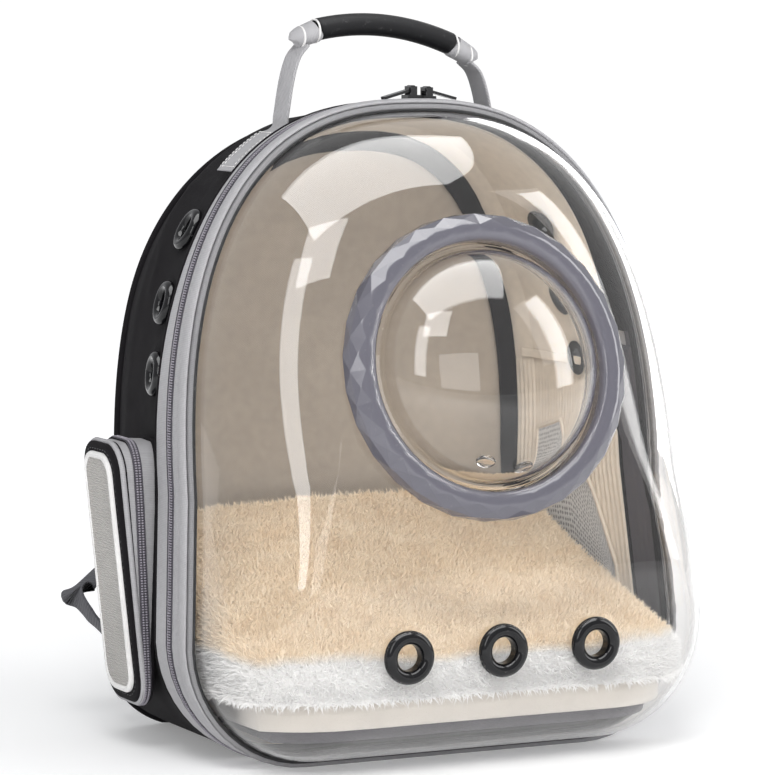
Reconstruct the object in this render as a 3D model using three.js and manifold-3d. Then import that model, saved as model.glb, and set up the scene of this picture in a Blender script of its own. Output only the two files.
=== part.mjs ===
// Bubble pet carrier backpack: a clear domed front shell zipped to a soft arched body.
// Millimetres, +Z up. The shell faces -Y, the shoulder straps are on +Y and the body stands on z = 0.
import * as THREE from "three";
import { mergeVertices } from "three/addons/utils/BufferGeometryUtils.js";
import Module from "manifold-3d";

const wasm = await Module();
wasm.setup();

const degrees = THREE.MathUtils.degToRad;

// Clearances
const GAP = 0.3; // between pieces that touch
const PIVOT_GAP = 0.5; // round a pin that turns

// Rim of the shell: straight lower sides under an arch, on a plane that leans back
const RIM_HALF_WIDTH = 167;
const RIM_SPRING_HEIGHT = 173;
const RIM_TOP_HEIGHT = 415;
const RIM_BOTTOM_HEIGHT = 5;
const RIM_CORNER_RADIUS = 73;
const RIM_ARCH_POWER = 2.5;
const RIM_SIDE_TAPER = 0.07; // how much wider the sides get for each millimetre below the spring
const RIM_LEAN = degrees(6.5);

// Clear front shell
const SHELL_DEPTH = 81; // from the foot of the rim to the front wall
const SHELL_WALL = 2.5;
const SHELL_TILT = degrees(12.8); // the front wall leans back above the bend
const SHELL_BEND_SHARE = 0.33; // height of the bend as a share of the height of the rim
const SHELL_BEND_BLEND = 20;
const SHELL_ROUND_SIDE = 85;
const SHELL_ROUND_TOP = 62;
const SHELL_ROUND_BOTTOM = 62;

// Window in the shell
const WINDOW_SHARE = 0.617; // height of its middle as a share of the height of the rim
const WINDOW_HOLE_RADIUS = 79;
const WINDOW_WALL = 2;
const WINDOW_DOME = 48;
const WINDOW_LIP = 5;
const WINDOW_FOOT = 2; // where the dome starts in front of the shell
const RING_WIDTH = 19;
const RING_THICKNESS = 15;
const RING_FACETS = 24;

// Section of the ring: shares of its width and of its thickness
const ringRows = [
  { across: 0, height: 0.04 },
  { across: 0.1, height: 0.86 },
  { across: 0.5, height: 1 },
  { across: 0.84, height: 0.74 },
  { across: 1, height: 0.36 },
  { across: 0.94, height: 0.04 },
];

// Eyelets
const VENT_SHARE = 0.193; // height of the vents as a share of the height of the rim
const VENT_SPACING = 66;
const EYELET_HOLE_RADIUS = 10;
const EYELET_OUTER_RADIUS = 17;
const EYELET_PROUD = 5;
const EYELET_WALL = 1.3;
const EYELET_BACK_FLANGE = 3.5;
const EYELET_BACK_THICKNESS = 1.8;
const SIDE_EYELET_SCALE = 0.88;
const SIDE_EYELET_SHARES = { low: 0.593, middle: 0.701, high: 0.812 }; // of the height of the rim
const SIDE_EYELET_OFFSET = 66; // behind the plane of the rim
const SIDE_EYELET_LIFT = 2.1; // room for the curve of the wall under the flange

// Gasket and zip gusset between shell and body
const GASKET_OUT = 7.5;
const GASKET_DEPTH = 8;
const GASKET_LIP = 4;
const BAND_DEPTH_TOP = 27;
const BAND_DEPTH_SIDE = 47;
const BAND_NARROW_HEIGHT = 385;
const BAND_WIDE_HEIGHT = 190;
const BAND_OUT = 5;
const BAND_WALL = 2.2;
const CHAIN_WIDTH = 6;
const CHAIN_PROUD = 1.3;
const BAND_FRONT_SHARE = 0.42; // of the band between gasket and body that lies in front of the zip

// Soft body
const BODY_WALL = 3;
const BODY_FLOOR = 0.6;
const BODY_BACK = 180;
const BODY_BACK_SLOPE_HEIGHT = 285; // above it the back comes forward
const BODY_BACK_FORWARD = 34; // how far it has come at the top
const LINING_WALL = 1.6;
const LINING_SHARES = [0, 0.2, 0.45, 0.8, 0.97]; // of the depth of the body
const BACK_PANEL_THICKNESS = 11;
const SEAM_RADIUS = 2.6;
const SEAM_SHARE = 0.97;
const BACK_MIDDLE_SHARE = 0.48; // height of the middle of the back
const INNER_BAND_SPLIT = 262; // black above, grey below

const BODY_SIDE_IN = 15; // how far inside the rim outline the sides end at the back
const BODY_TOP_IN = 9; // the same for the top

// How far in the wall of the body is at shares of its depth behind the band: shares of what it is at the back
const bodySections = [
  { share: 0, side: -0.133, top: -0.111 },
  { share: 0.2, side: 0.267, top: 0 },
  { share: 0.45, side: 0.467, top: 0.056 },
  { share: 0.8, side: 0.6, top: 0.222 },
  { share: 1, side: 1, top: 1 },
];

// Side pockets
const POCKET_FRONT = 74;
const POCKET_REAR = 130;
const POCKET_BOTTOM = 34;
const POCKET_TOP = 206;
const POCKET_OUT_TOP = 33; // from the half width of the rim to the outer face
const POCKET_OUT_BOTTOM = 12;
const POCKET_WALL = 2.4;
const POCKET_BORDER = 15;
const POCKET_ZIP_WIDTH = 5;
const POCKET_ROUND = 0.62; // share of the half width taken by the rounding
const POCKET_ZIP_SHARE = 0.56; // of the way from the body to the outer face
const POCKET_SEAM = 1; // how far the gusset stops short of the outer face
const POCKET_SWELL = 2;
const POCKET_PANEL_THICKNESS = 1.4;

// Rings across the pocket face: how far in towards its middle, and share of the swell
const pocketRings = [
  { shrink: 0, rise: 0 },
  { shrink: 0.12, rise: 0.5 },
  { shrink: 0.5, rise: 1 },
];

// Mesh window on the inside of each wall: shares of the depth of the body and of the height of the pocket
const MESH_THICKNESS = 1;
const MESH_CLEARANCE = 0.85;
const MESH_KNEE = 0.8; // where it bends with the wall, at most at the spring of the arch
const meshColumns = [
  { share: 0.08, low: 0.36, high: 0.42 },
  { share: 0.2, low: 0.3, high: 0.7 },
  { share: 0.45, low: 0.3, high: 0.97 },
  { share: 0.75, low: 0.34, high: 0.92 },
];

// Floor and mat
const BOARD_FRONT_HEIGHT = 25;
const BOARD_SLOPE = 0.035;
const BOARD_THICKNESS = 8;
const MAT_BASE_THICKNESS = 18;
const MAT_FRONT_HEIGHT = 28; // plush edge above the base
const MAT_BACK_HEIGHT = 124;
const MAT_CLEARANCE = 3;
const MAT_CROWN = 10; // how much lower its sides are
const MAT_SIDE_CLEARANCE = 1.2;
const MAT_RISE_POWER = 1.25; // how late it rises towards the back
const MAT_FRONT_SHARE = 0.96; // of the half width taken by the front edge
const MAT_REAR_CORNER = 14;
const MAT_SIDE_SHARES = [0.35, 0.7];
const MAT_FRONT_POINTS = 9;
const MAT_REAR_POINTS = 7;

// Top handle
const HANDLE_OFFSET = 42; // behind the plane of the rim
const HANDLE_RISE = 51; // of the middle of the grip above the top of the rim
const HANDLE_DROP = 5; // each end of the grip, because the soft handle leans
const GRIP_LENGTH = 98;
const GRIP_RADIUS = 7.5;
const COLLAR_LENGTH = 16;
const COLLAR_RADIUS = 6.2;
const WEBBING_WIDTH = 23;
const WEBBING_THICKNESS = 2.2;
const HANDLE_FOOT = 76;
const HANDLE_PATCH = 34;
const BAR_FLATTENING = 1.25; // how much deeper than high the grip and the collars are
const BAR_SIDES = 10;

// Shoulder straps
const STRAP_WIDTH = 58;
const STRAP_THICKNESS = 13;
const STRAP_WEBBING_WIDTH = 25;
const STRAP_WEBBING_THICKNESS = 2.2;
const STRAP_REACH = 27; // from the back panel at the widest place
const STRAP_ANCHOR_HEIGHT = 68;
const STRAP_ANCHOR_IN = 7; // forward of the back
const ADJUSTER_LENGTH = 18;
const ADJUSTER_WIDTH = 34;
const ADJUSTER_THICKNESS = 5;
const LOOP_OUT = 14; // how far the lower webbing bows out past the body
const LOOP_LEAD = 6; // straight run out of the adjuster

// Places along a strap: shares of the half width of the rim, of the reach and of the height
const strapRows = [
  { across: 0.22, behind: 0.05, height: 0.905 },
  { across: 0.25, behind: 0.45, height: 0.88 },
  { across: 0.31, behind: 0.9, height: 0.8 },
  { across: 0.4, behind: 1, height: 0.68 },
  { across: 0.5, behind: 0.95, height: 0.54 },
  { across: 0.59, behind: 0.78, height: 0.42 },
  { across: 0.66, behind: 0.6, height: 0.33 },
];

// Lower webbing from the adjuster to its anchor: shares of the way across and back, millimetres down
const loopRows = [
  { across: 0.45, back: 0.6, down: 8 },
  { across: 0.86, back: 1, down: 24 },
];

// Its last run: shares of the bow, of the way forward to the anchor and of the height left
const dropRows = [
  { out: 1, forward: 0.3, height: 0.45 },
  { out: 0.6, forward: 0.7, height: 0.2 },
  { out: 0, forward: 1, height: 0 },
];

// Zip sliders and pulls
const SLIDER_LENGTH = 9;
const SLIDER_WIDTH = 10;
const SLIDER_HEIGHT = 3.2;
const SLIDERS_MEET = 13; // across from the middle of the arch
const SLIDERS_APART = 11.5;
const PIN_RADIUS = 1.2;
const EYE_WALL = 1.3;
const PULL_LENGTH = 21;
const PULL_WIDTH = 6;
const PULL_THICKNESS = 1.8;
const PULL_DROP = degrees(15); // each pull lies with its end on the zip
const CHEEK_WALL = 1.4;
const CHEEK_MARGIN = 1; // of metal round the pin

// Fineness of the meshes
const CORNER_STEPS = 4;
const ARCH_STEPS = 9;
const SHELL_TURNS = 5;
const SHELL_FLAT_SHARES = [0.8, 0.52]; // rings on the front wall, the last one round the window
const ROUND_SIDES = 10;
const WINDOW_SIDES = 24;
const WINDOW_STEPS = 4;
const SEAM_SIDES = 4;
const POCKET_CORNER_STEPS = 4;

// Materials
const finish = (color, roughness, metalness = 0, opacity = 1) =>
  new THREE.MeshStandardMaterial({ color, roughness, metalness, opacity, transparent: opacity < 1 });
const clearPlastic = finish(0xe9e4de, 0.05, 0, 0.25);
const ringPlastic = finish(0x6a6874, 0.2);
const blackPlastic = finish(0x0d0d0e, 0.25);
const blackCloth = finish(0x201e21, 0.85);
const greyTape = finish(0xaeabb0, 0.75);
const darkTape = finish(0x5f5c64, 0.8);
const zipTeeth = finish(0x4a4352, 0.5);
const zipMetal = finish(0x151516, 0.3, 0.7);
const beigeLining = finish(0xb9ab99, 0.85);
const taupeLining = finish(0x958b80, 0.85);
const meshCloth = finish(0xc9c6c4, 0.9);
const tanPlush = finish(0xe8cda5, 0.95);
const creamPlush = finish(0xe1dad2, 0.95);
const strapWebbing = finish(0x5a595d, 0.8);

const group = new THREE.Group();
const sides = [["left", -1], ["right", 1]];

const vector = (x, y, z) => new THREE.Vector3(x, y, z);
const lerp = THREE.MathUtils.lerp;
const smoothstep = THREE.MathUtils.smoothstep;

function add(name, geometry, material, parent = group) {
  const mesh = new THREE.Mesh(geometry, material);
  mesh.name = name;
  parent.add(mesh);
}

// A group with its origin at a place and its own +Y looking in a direction
function seatAt(place, direction) {
  const seat = new THREE.Group();
  seat.position.copy(place);
  seat.quaternion.setFromUnitVectors(vector(0, 1, 0), direction);
  group.add(seat);
  return seat;
}

// Geometry from points and triangles, with flat faces
function geometryOf(points, triangles) {
  const geometry = new THREE.BufferGeometry();
  geometry.setAttribute(
    "position",
    new THREE.Float32BufferAttribute(points.flatMap((p) => [p.x, p.y, p.z]), 3),
  );
  geometry.setIndex(triangles.flat());
  return turnedOut(geometry);
}

// The same geometry with its faces pointing out, whichever way its sections ran
function turnedOut(geometry) {
  const p = geometry.attributes.position;
  const index = geometry.index.array;
  const [a, b, c] = [new THREE.Vector3(), new THREE.Vector3(), new THREE.Vector3()];
  let volume = 0;
  for (let i = 0; i < index.length; i += 3) {
    a.fromBufferAttribute(p, index[i]);
    b.fromBufferAttribute(p, index[i + 1]);
    c.fromBufferAttribute(p, index[i + 2]);
    volume += a.dot(b.cross(c));
  }
  if (volume < 0)
    for (let i = 0; i < index.length; i += 3) [index[i + 1], index[i + 2]] = [index[i + 2], index[i + 1]];
  return geometry;
}

// A solid through sections of equal count: a closed loop of sections, or an open run with flat ends
function sweep(sections, closed) {
  const count = sections[0].length;
  const triangles = [];
  const runs = closed ? sections.length : sections.length - 1;
  for (let i = 0; i < runs; i++) {
    const here = i * count;
    const next = ((i + 1) % sections.length) * count;
    for (let j = 0; j < count; j++) {
      const k = (j + 1) % count;
      triangles.push([here + j, next + j, next + k], [here + j, next + k, here + k]);
    }
  }
  if (!closed) {
    const last = (sections.length - 1) * count;
    for (let j = 1; j < count - 1; j++) triangles.push([0, j, j + 1], [last, last + j + 1, last + j]);
  }
  return geometryOf(sections.flat(), triangles);
}

// A solid between two faces, each of rings that shrink to one middle point
function plate(front, back) {
  const points = [];
  const triangles = [];
  const count = front.rings[0].length;
  const face = ({ rings, middle }, flip) => {
    const start = points.length;
    points.push(...rings.flat(), middle);
    const centre = points.length - 1;
    const put = (a, b, c) => triangles.push(flip ? [a, c, b] : [a, b, c]);
    for (let i = 0; i < rings.length; i++)
      for (let j = 0; j < count; j++) {
        const k = (j + 1) % count;
        const here = start + i * count;
        const next = here + count;
        if (i < rings.length - 1) {
          put(here + j, here + k, next + k);
          put(here + j, next + k, next + j);
        } else put(here + j, here + k, centre);
      }
    return start;
  };
  const a = face(front, false);
  const b = face(back, true);
  for (let j = 0; j < count; j++) {
    const k = (j + 1) % count;
    triangles.push([a + j, b + j, b + k], [a + j, b + k, a + k]);
  }
  return geometryOf(points, triangles);
}

// Booleans
function solidOf(geometry) {
  const bare = geometry.clone();
  bare.deleteAttribute("normal");
  bare.deleteAttribute("uv");
  const merged = mergeVertices(bare, 1e-4);
  return new wasm.Manifold(
    new wasm.Mesh({
      numProp: 3,
      vertProperties: merged.attributes.position.array,
      triVerts: new Uint32Array(merged.index.array),
    }),
  );
}

function geometryFrom(solid) {
  const mesh = solid.getMesh();
  const geometry = new THREE.BufferGeometry();
  geometry.setAttribute("position", new THREE.BufferAttribute(new Float32Array(mesh.vertProperties), 3));
  geometry.setIndex(new THREE.BufferAttribute(new Uint32Array(mesh.triVerts), 1));
  return geometry;
}

const cut = (geometry, tools) =>
  geometryFrom(tools.reduce((rest, tool) => rest.subtract(solidOf(tool)), solidOf(geometry)));
const fuse = (geometries) => geometryFrom(geometries.map(solidOf).reduce((sum, next) => sum.add(next)));

// A rod along a direction, its middle at a point
function rod(radius, length, middle, direction, sides = ROUND_SIDES) {
  const geometry = new THREE.CylinderGeometry(radius, radius, length, sides);
  const turn = new THREE.Quaternion().setFromUnitVectors(new THREE.Vector3(0, 1, 0), direction);
  return geometry.applyQuaternion(turn).translate(middle.x, middle.y, middle.z);
}

function block(x, y, z, middle) {
  return new THREE.BoxGeometry(x, y, z).translate(middle.x, middle.y, middle.z);
}

// Heights of what follows the height of the rim
const windowHeight = RIM_TOP_HEIGHT * WINDOW_SHARE;
const ventHeight = RIM_TOP_HEIGHT * VENT_SHARE;
const bendHeight = RIM_TOP_HEIGHT * SHELL_BEND_SHARE;

// Plane of the rim
const rimY = (z) => (z - RIM_BOTTOM_HEIGHT) * Math.tan(RIM_LEAN);

// Half width of the rim outline at a height, when it has grown outwards by a distance
function halfWidthAt(z, grow) {
  const halfWidth = RIM_HALF_WIDTH + grow;
  const rise = RIM_TOP_HEIGHT - RIM_SPRING_HEIGHT + grow;
  if (z >= RIM_SPRING_HEIGHT) {
    const up = Math.min((z - RIM_SPRING_HEIGHT) / rise, 1);
    return halfWidth * (1 - up ** RIM_ARCH_POWER) ** (1 / RIM_ARCH_POWER);
  }
  return halfWidth + RIM_SIDE_TAPER * (RIM_SPRING_HEIGHT - z);
}

// Height of the arch above a place across, when it has grown sideways and upwards
function archHeightAt(x, side, top) {
  const across = Math.min(Math.abs(x) / (RIM_HALF_WIDTH + side), 1);
  const rise = RIM_TOP_HEIGHT - RIM_SPRING_HEIGHT + top;
  return RIM_SPRING_HEIGHT + rise * (1 - across ** RIM_ARCH_POWER) ** (1 / RIM_ARCH_POWER);
}

// Height of a faceted ring above a place across
function ringHeightAt(ring, x) {
  const i = ring.findIndex((p, k) => p.z > RIM_SPRING_HEIGHT && p.x >= x && ring[k + 1].x <= x);
  const [a, b] = [ring[i], ring[i + 1]];
  return lerp(a.z, b.z, (x - a.x) / (b.x - a.x));
}

// The rim outline as a ring of places, grown outwards: from the middle of the foot up the right side
function outline(side, top = side, bottom = side) {
  const halfWidth = RIM_HALF_WIDTH + side;
  const rise = RIM_TOP_HEIGHT - RIM_SPRING_HEIGHT + top;
  const foot = RIM_BOTTOM_HEIGHT - bottom;
  const radius = RIM_CORNER_RADIUS + side;
  const cornerTop = foot + radius;
  const widest = halfWidth + RIM_SIDE_TAPER * (RIM_SPRING_HEIGHT - cornerTop);
  const flat = widest - radius;
  const half = [{ x: flat / 2, z: foot }];
  for (let i = 0; i <= CORNER_STEPS; i++) {
    const turn = (Math.PI / 2) * (i / CORNER_STEPS);
    half.push({ x: flat + radius * Math.sin(turn), z: cornerTop - radius * Math.cos(turn) });
  }
  for (let i = 0; i < ARCH_STEPS; i++) {
    const turn = (Math.PI / 2) * (i / ARCH_STEPS);
    half.push({
      x: halfWidth * Math.cos(turn) ** (2 / RIM_ARCH_POWER),
      z: RIM_SPRING_HEIGHT + rise * Math.sin(turn) ** (2 / RIM_ARCH_POWER),
    });
  }
  const mirrored = half.map(({ x, z }) => ({ x: -x, z })).reverse();
  return [{ x: 0, z: foot }, ...half, { x: 0, z: RIM_SPRING_HEIGHT + rise }, ...mirrored];
}

// Front wall of the shell, without its rounded edges
function frontY(z) {
  const above = z - bendHeight;
  const ramp =
    above < -SHELL_BEND_BLEND
      ? 0
      : above > SHELL_BEND_BLEND
        ? above
        : (above + SHELL_BEND_BLEND) ** 2 / (4 * SHELL_BEND_BLEND);
  return -SHELL_DEPTH + ramp * Math.tan(SHELL_TILT);
}

// One skin of the shell, a distance inside its outer face
function shellSkin(inside) {
  const centre = { x: 0, z: windowHeight };
  const ring = (turn, share) =>
    outline(-inside).map(({ x, z }) => {
      const across = x - centre.x;
      const up = z - centre.z;
      const reach = Math.hypot(across, up);
      const upShare = (up / reach) ** 2;
      const vertical = up > 0 ? SHELL_ROUND_TOP : SHELL_ROUND_BOTTOM;
      const round = lerp(SHELL_ROUND_SIDE, vertical, upShare) - inside;
      const inset = round * (1 - Math.cos(turn));
      const left = (reach - inset) * share;
      const px = centre.x + (across / reach) * left;
      const pz = centre.z + (up / reach) * left;
      const back = rimY(pz);
      return vector(px, lerp(back, frontY(pz) + inside, Math.sin(turn)), pz);
    });
  const rings = [];
  for (let i = 0; i <= SHELL_TURNS; i++) rings.push(ring((Math.PI / 2) * (i / SHELL_TURNS), 1));
  for (const share of SHELL_FLAT_SHARES) rings.push(ring(Math.PI / 2, share));
  return { rings, middle: vector(0, frontY(centre.z) + inside, centre.z) };
}

// The outer face of the shell at a place across and up
function shellY(x, z) {
  const up = z - windowHeight;
  const reach = Math.max(Math.hypot(x, up), 1e-6);
  const ring = outline(0);
  let limit = reach;
  for (let i = 0; i < ring.length; i++) {
    const a = ring[i];
    const b = ring[(i + 1) % ring.length];
    const [ax, az, bx, bz] = [a.x, a.z - windowHeight, b.x, b.z - windowHeight];
    const cross = (x * (bz - az) - up * (bx - ax)) / reach;
    const along = (ax * (bz - az) - az * (bx - ax)) / cross;
    const hit = Math.abs(bx - ax) > Math.abs(bz - az)
      ? ((x / reach) * along - ax) / (bx - ax)
      : ((up / reach) * along - az) / (bz - az);
    if (along > 0 && hit >= 0 && hit <= 1) limit = along;
  }
  const vertical = up > 0 ? SHELL_ROUND_TOP : SHELL_ROUND_BOTTOM;
  const round = lerp(SHELL_ROUND_SIDE, vertical, (up / reach) ** 2);
  const turn = Math.max(0, 1 - Math.max(limit - reach, 0) / round);
  return lerp(rimY(z), frontY(z), Math.sqrt(1 - Math.min(turn, 1) ** 2));
}

// Middle of the window on the front wall, and the direction that it looks in
const windowMiddle = vector(0, frontY(windowHeight), windowHeight);
const windowNormal = vector(0, -Math.cos(SHELL_TILT), Math.sin(SHELL_TILT));
const forward = vector(0, -1, 0);
const vents = [["left", -1], ["middle", 0], ["right", 1]].map(([name, side]) => ({
  name,
  middle: vector(side * VENT_SPACING, frontY(ventHeight), ventHeight),
}));

function makeShell() {
  const bowl = plate(shellSkin(0), shellSkin(SHELL_WALL));
  const hole = rod(WINDOW_HOLE_RADIUS, 6 * SHELL_WALL, windowMiddle, windowNormal, WINDOW_SIDES);
  const holes = vents.map(({ middle }) => rod(EYELET_HOLE_RADIUS, 4 * SHELL_WALL, middle, forward));
  add("front_shell", cut(bowl, [hole, ...holes]), clearPlastic);
}

// A piece turned about +Y from a table of radius and height
function turned(profile, around) {
  const points = profile.map(({ radius, height }) => new THREE.Vector2(radius, height));
  const geometry = new THREE.LatheGeometry(points, around);
  geometry.deleteAttribute("normal");
  geometry.deleteAttribute("uv");
  return turnedOut(mergeVertices(geometry, 1e-4));
}

// Ring round the window, its face cut in diamonds: every other row is turned by half a facet
function makeRing(seat) {
  const points = [];
  ringRows.forEach(({ across, height }, row) => {
    for (let i = 0; i < RING_FACETS; i++) {
      const angle = (2 * Math.PI * (i + (row % 2) / 2)) / RING_FACETS;
      const radius = WINDOW_HOLE_RADIUS + 2 * GAP + across * RING_WIDTH;
      points.push(vector(radius * Math.cos(angle), height * RING_THICKNESS, radius * Math.sin(angle)));
    }
  });
  const triangles = [];
  ringRows.forEach((_, row) => {
    const next = (row + 1) % ringRows.length;
    const shift = row % 2;
    for (let i = 0; i < RING_FACETS; i++) {
      const j = (i + 1) % RING_FACETS;
      const [a, b] = [row * RING_FACETS + i, row * RING_FACETS + j];
      const [c, d] = [next * RING_FACETS + i, next * RING_FACETS + j];
      if (shift) triangles.push([a, d, c], [a, b, d]);
      else triangles.push([a, b, c], [b, d, c]);
    }
  });
  add("window_ring", geometryOf(points, triangles), ringPlastic, seat);
}

// Domed window, held in the hole by a lip behind the shell
function makeWindow(seat) {
  const outer = WINDOW_HOLE_RADIUS - 2 * GAP;
  const inner = outer - WINDOW_WALL;
  const behind = -(SHELL_WALL + 2 * GAP);
  const dome = (radius, height) =>
    Array.from({ length: WINDOW_STEPS + 1 }, (_, i) => {
      const turn = (Math.PI / 2) * (i / WINDOW_STEPS);
      return { radius: radius * Math.sin(turn), height: lerp(WINDOW_FOOT, height, Math.cos(turn)) };
    });
  const profile = [
    ...dome(outer, WINDOW_DOME),
    { radius: outer, height: behind },
    { radius: outer + WINDOW_LIP, height: behind - WINDOW_WALL / 2 },
    { radius: outer + WINDOW_LIP, height: behind - 1.5 * WINDOW_WALL },
    { radius: inner, height: behind - 1.5 * WINDOW_WALL },
    ...dome(inner, WINDOW_DOME - WINDOW_WALL).reverse(),
  ];
  add("bubble_window", turned(profile, WINDOW_SIDES), clearPlastic, seat);
}

// Eyelet through a wall: a round front, a barrel through the hole and a flange behind
function eyelet(scale, wall) {
  const barrel = EYELET_HOLE_RADIUS * scale - GAP;
  const bore = barrel - EYELET_WALL;
  const outer = EYELET_OUTER_RADIUS * scale;
  const behind = -(wall + GAP);
  const profile = [
    { radius: bore, height: behind - EYELET_BACK_THICKNESS },
    { radius: bore, height: EYELET_PROUD * 0.75 },
    { radius: lerp(bore, outer, 0.6), height: EYELET_PROUD },
    { radius: outer, height: GAP },
    { radius: barrel, height: GAP },
    { radius: barrel, height: behind },
    { radius: barrel + EYELET_BACK_FLANGE, height: behind },
    { radius: barrel + EYELET_BACK_FLANGE, height: behind - EYELET_BACK_THICKNESS },
  ];
  return [...profile, profile[0]];
}

function makeVents() {
  const geometry = turned(eyelet(1, SHELL_WALL), ROUND_SIDES);
  for (const { name, middle } of vents)
    add("vent_eyelet_" + name, geometry, blackPlastic, seatAt(middle, forward));
}

// Depth of the gusset band behind the rim, narrow at the top and wide down the sides
const bandDepth = (z) =>
  lerp(BAND_DEPTH_SIDE, BAND_DEPTH_TOP, smoothstep(z, BAND_WIDE_HEIGHT, BAND_NARROW_HEIGHT));
const chainFront = (z) =>
  GASKET_DEPTH + GAP + (bandDepth(z) - GASKET_DEPTH - CHAIN_WIDTH) * BAND_FRONT_SHARE;

// A loop round the rim with a section from a table: how far out, and how far behind the rim at a height
function rimLoop(section) {
  const rings = section.map(({ out }) => outline(out, out, Math.min(out, RIM_BOTTOM_HEIGHT - BODY_FLOOR)));
  return rings[0].map((_, i) =>
    section.map(({ behind }, j) => {
      const { x, z } = rings[j][i];
      return vector(x, rimY(z) + behind(z), z);
    }),
  );
}

function makeGasket() {
  const lip = () => -GASKET_LIP;
  const seat = () => GAP;
  const back = () => GASKET_DEPTH;
  const section = [
    { out: GAP, behind: seat },
    { out: GAP, behind: lip },
    { out: GASKET_OUT * 0.6, behind: lip },
    { out: GASKET_OUT, behind: () => GASKET_DEPTH * 0.1 },
    { out: GASKET_OUT, behind: back },
    { out: -SHELL_WALL, behind: back },
    { out: -SHELL_WALL, behind: seat },
  ];
  add("rim_gasket", sweep(rimLoop(section), true), greyTape);
}

function bandSection(from, to, inside, outside) {
  return [
    { out: outside, behind: from },
    { out: outside, behind: to },
    { out: inside, behind: to },
    { out: inside, behind: from },
  ];
}

function makeGusset() {
  const inner = BAND_OUT - BAND_WALL;
  const frontFrom = () => GASKET_DEPTH + GAP;
  const chainBack = (z) => chainFront(z) + CHAIN_WIDTH;
  add(
    "gusset_band_front",
    sweep(rimLoop(bandSection(frontFrom, (z) => chainFront(z) - GAP, inner, BAND_OUT)), true),
    greyTape,
  );
  add(
    "zip_chain",
    sweep(rimLoop(bandSection(chainFront, chainBack, inner, BAND_OUT + CHAIN_PROUD)), true),
    zipTeeth,
  );
  add(
    "gusset_band_rear",
    sweep(rimLoop(bandSection((z) => chainBack(z) + GAP, bandDepth, inner, BAND_OUT)), true),
    greyTape,
  );
  const section = bandSection(frontFrom, bandDepth, inner - GAP - LINING_WALL, inner - GAP);
  const loop = rimLoop(section);
  const upper = loop.filter((stations) => stations[0].z > INNER_BAND_SPLIT);
  const split = loop.findIndex((stations) => stations[0].z > INNER_BAND_SPLIT);
  const lower = [...loop.slice(loop.length - split + 1), ...loop.slice(0, split)];
  const joint = (from, to, share) => from.map((p, i) => p.clone().lerp(to[i], share));
  const gapShare = GAP / upper[0][0].distanceTo(lower[lower.length - 1][0]);
  const upperEnds = [
    joint(lower[lower.length - 1], upper[0], gapShare),
    joint(lower[0], upper[upper.length - 1], gapShare),
  ];
  add("inner_band_upper", sweep([upperEnds[0], ...upper, upperEnds[1]], false), blackCloth);
  add("inner_band_lower", sweep(lower, false), darkTape);
}

// Soft body
function bodyGrow(share) {
  const after = Math.max(1, bodySections.findIndex((row) => row.share >= share));
  const [a, b] = [bodySections[after - 1], bodySections[after]];
  const t = (share - a.share) / (b.share - a.share);
  return { side: -BODY_SIDE_IN * lerp(a.side, b.side, t), top: -BODY_TOP_IN * lerp(a.top, b.top, t) };
}

function backY(z) {
  const above = Math.max(0, z - BODY_BACK_SLOPE_HEIGHT);
  return BODY_BACK - BODY_BACK_FORWARD * (above / (RIM_TOP_HEIGHT - BODY_BACK_SLOPE_HEIGHT)) ** 2;
}
const bodyFrontY = (z) => rimY(z) + bandDepth(z) + GAP;
const bodyShareAt = (y, z) => (y - bodyFrontY(z)) / (backY(z) - bodyFrontY(z));
const bodyHalfWidth = (y, z) => halfWidthAt(z, bodyGrow(bodyShareAt(y, z)).side);

// A ring round the body at a share of its depth, a distance inside its outer face
function bodyRing(share, inside) {
  const { side, top } = bodyGrow(share);
  const floor = RIM_BOTTOM_HEIGHT - BODY_FLOOR - inside;
  return outline(side - inside, top - inside, floor).map(({ x, z }) =>
    vector(x, lerp(bodyFrontY(z), backY(z), share), z),
  );
}

// A tube wall between two distances inside the outer face, through rings at shares of the depth
function bodyWall(inside, wall, shares) {
  const rings = [
    ...shares.map((share) => bodyRing(share, inside)),
    ...shares.map((share) => bodyRing(share, inside + wall)).reverse(),
  ];
  return sweep(rings[0].map((_, i) => rings.map((ring) => ring[i])), true);
}

function sideEyeletPlaces() {
  return Object.entries(SIDE_EYELET_SHARES).flatMap(([level, share]) =>
    sides.map(([name, side]) => {
      const z = RIM_TOP_HEIGHT * share;
      const y = rimY(z) + SIDE_EYELET_OFFSET;
      const r = EYELET_HOLE_RADIUS;
      const slope = (bodyHalfWidth(y, z + r) - bodyHalfWidth(y, z - r)) / (2 * r);
      const taper = (bodyHalfWidth(y + r, z) - bodyHalfWidth(y - r, z)) / (2 * r);
      return {
        name: "side_eyelet_" + name + "_" + level,
        middle: vector(side * bodyHalfWidth(y, z), y, z),
        normal: vector(side, -taper, -slope).normalize(),
      };
    }),
  );
}

function makeBody() {
  const liningInside = BODY_WALL + GAP;
  const wall = liningInside + LINING_WALL;
  const places = sideEyeletPlaces();
  const holes = places.map(({ middle, normal }) =>
    rod(EYELET_HOLE_RADIUS * SIDE_EYELET_SCALE, 5 * wall, middle, normal),
  );
  add("body_side", cut(bodyWall(0, BODY_WALL, bodySections.map((row) => row.share)), holes), blackCloth);
  add("side_lining", cut(bodyWall(liningInside, LINING_WALL, LINING_SHARES), holes), beigeLining);
  for (const { name, middle, normal } of places) {
    const seat = seatAt(middle.clone().addScaledVector(normal, SIDE_EYELET_LIFT), normal);
    const geometry = turned(eyelet(SIDE_EYELET_SCALE, wall + 2.5 * SIDE_EYELET_LIFT), ROUND_SIDES);
    add(name, geometry, blackPlastic, seat);
  }
}

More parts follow.
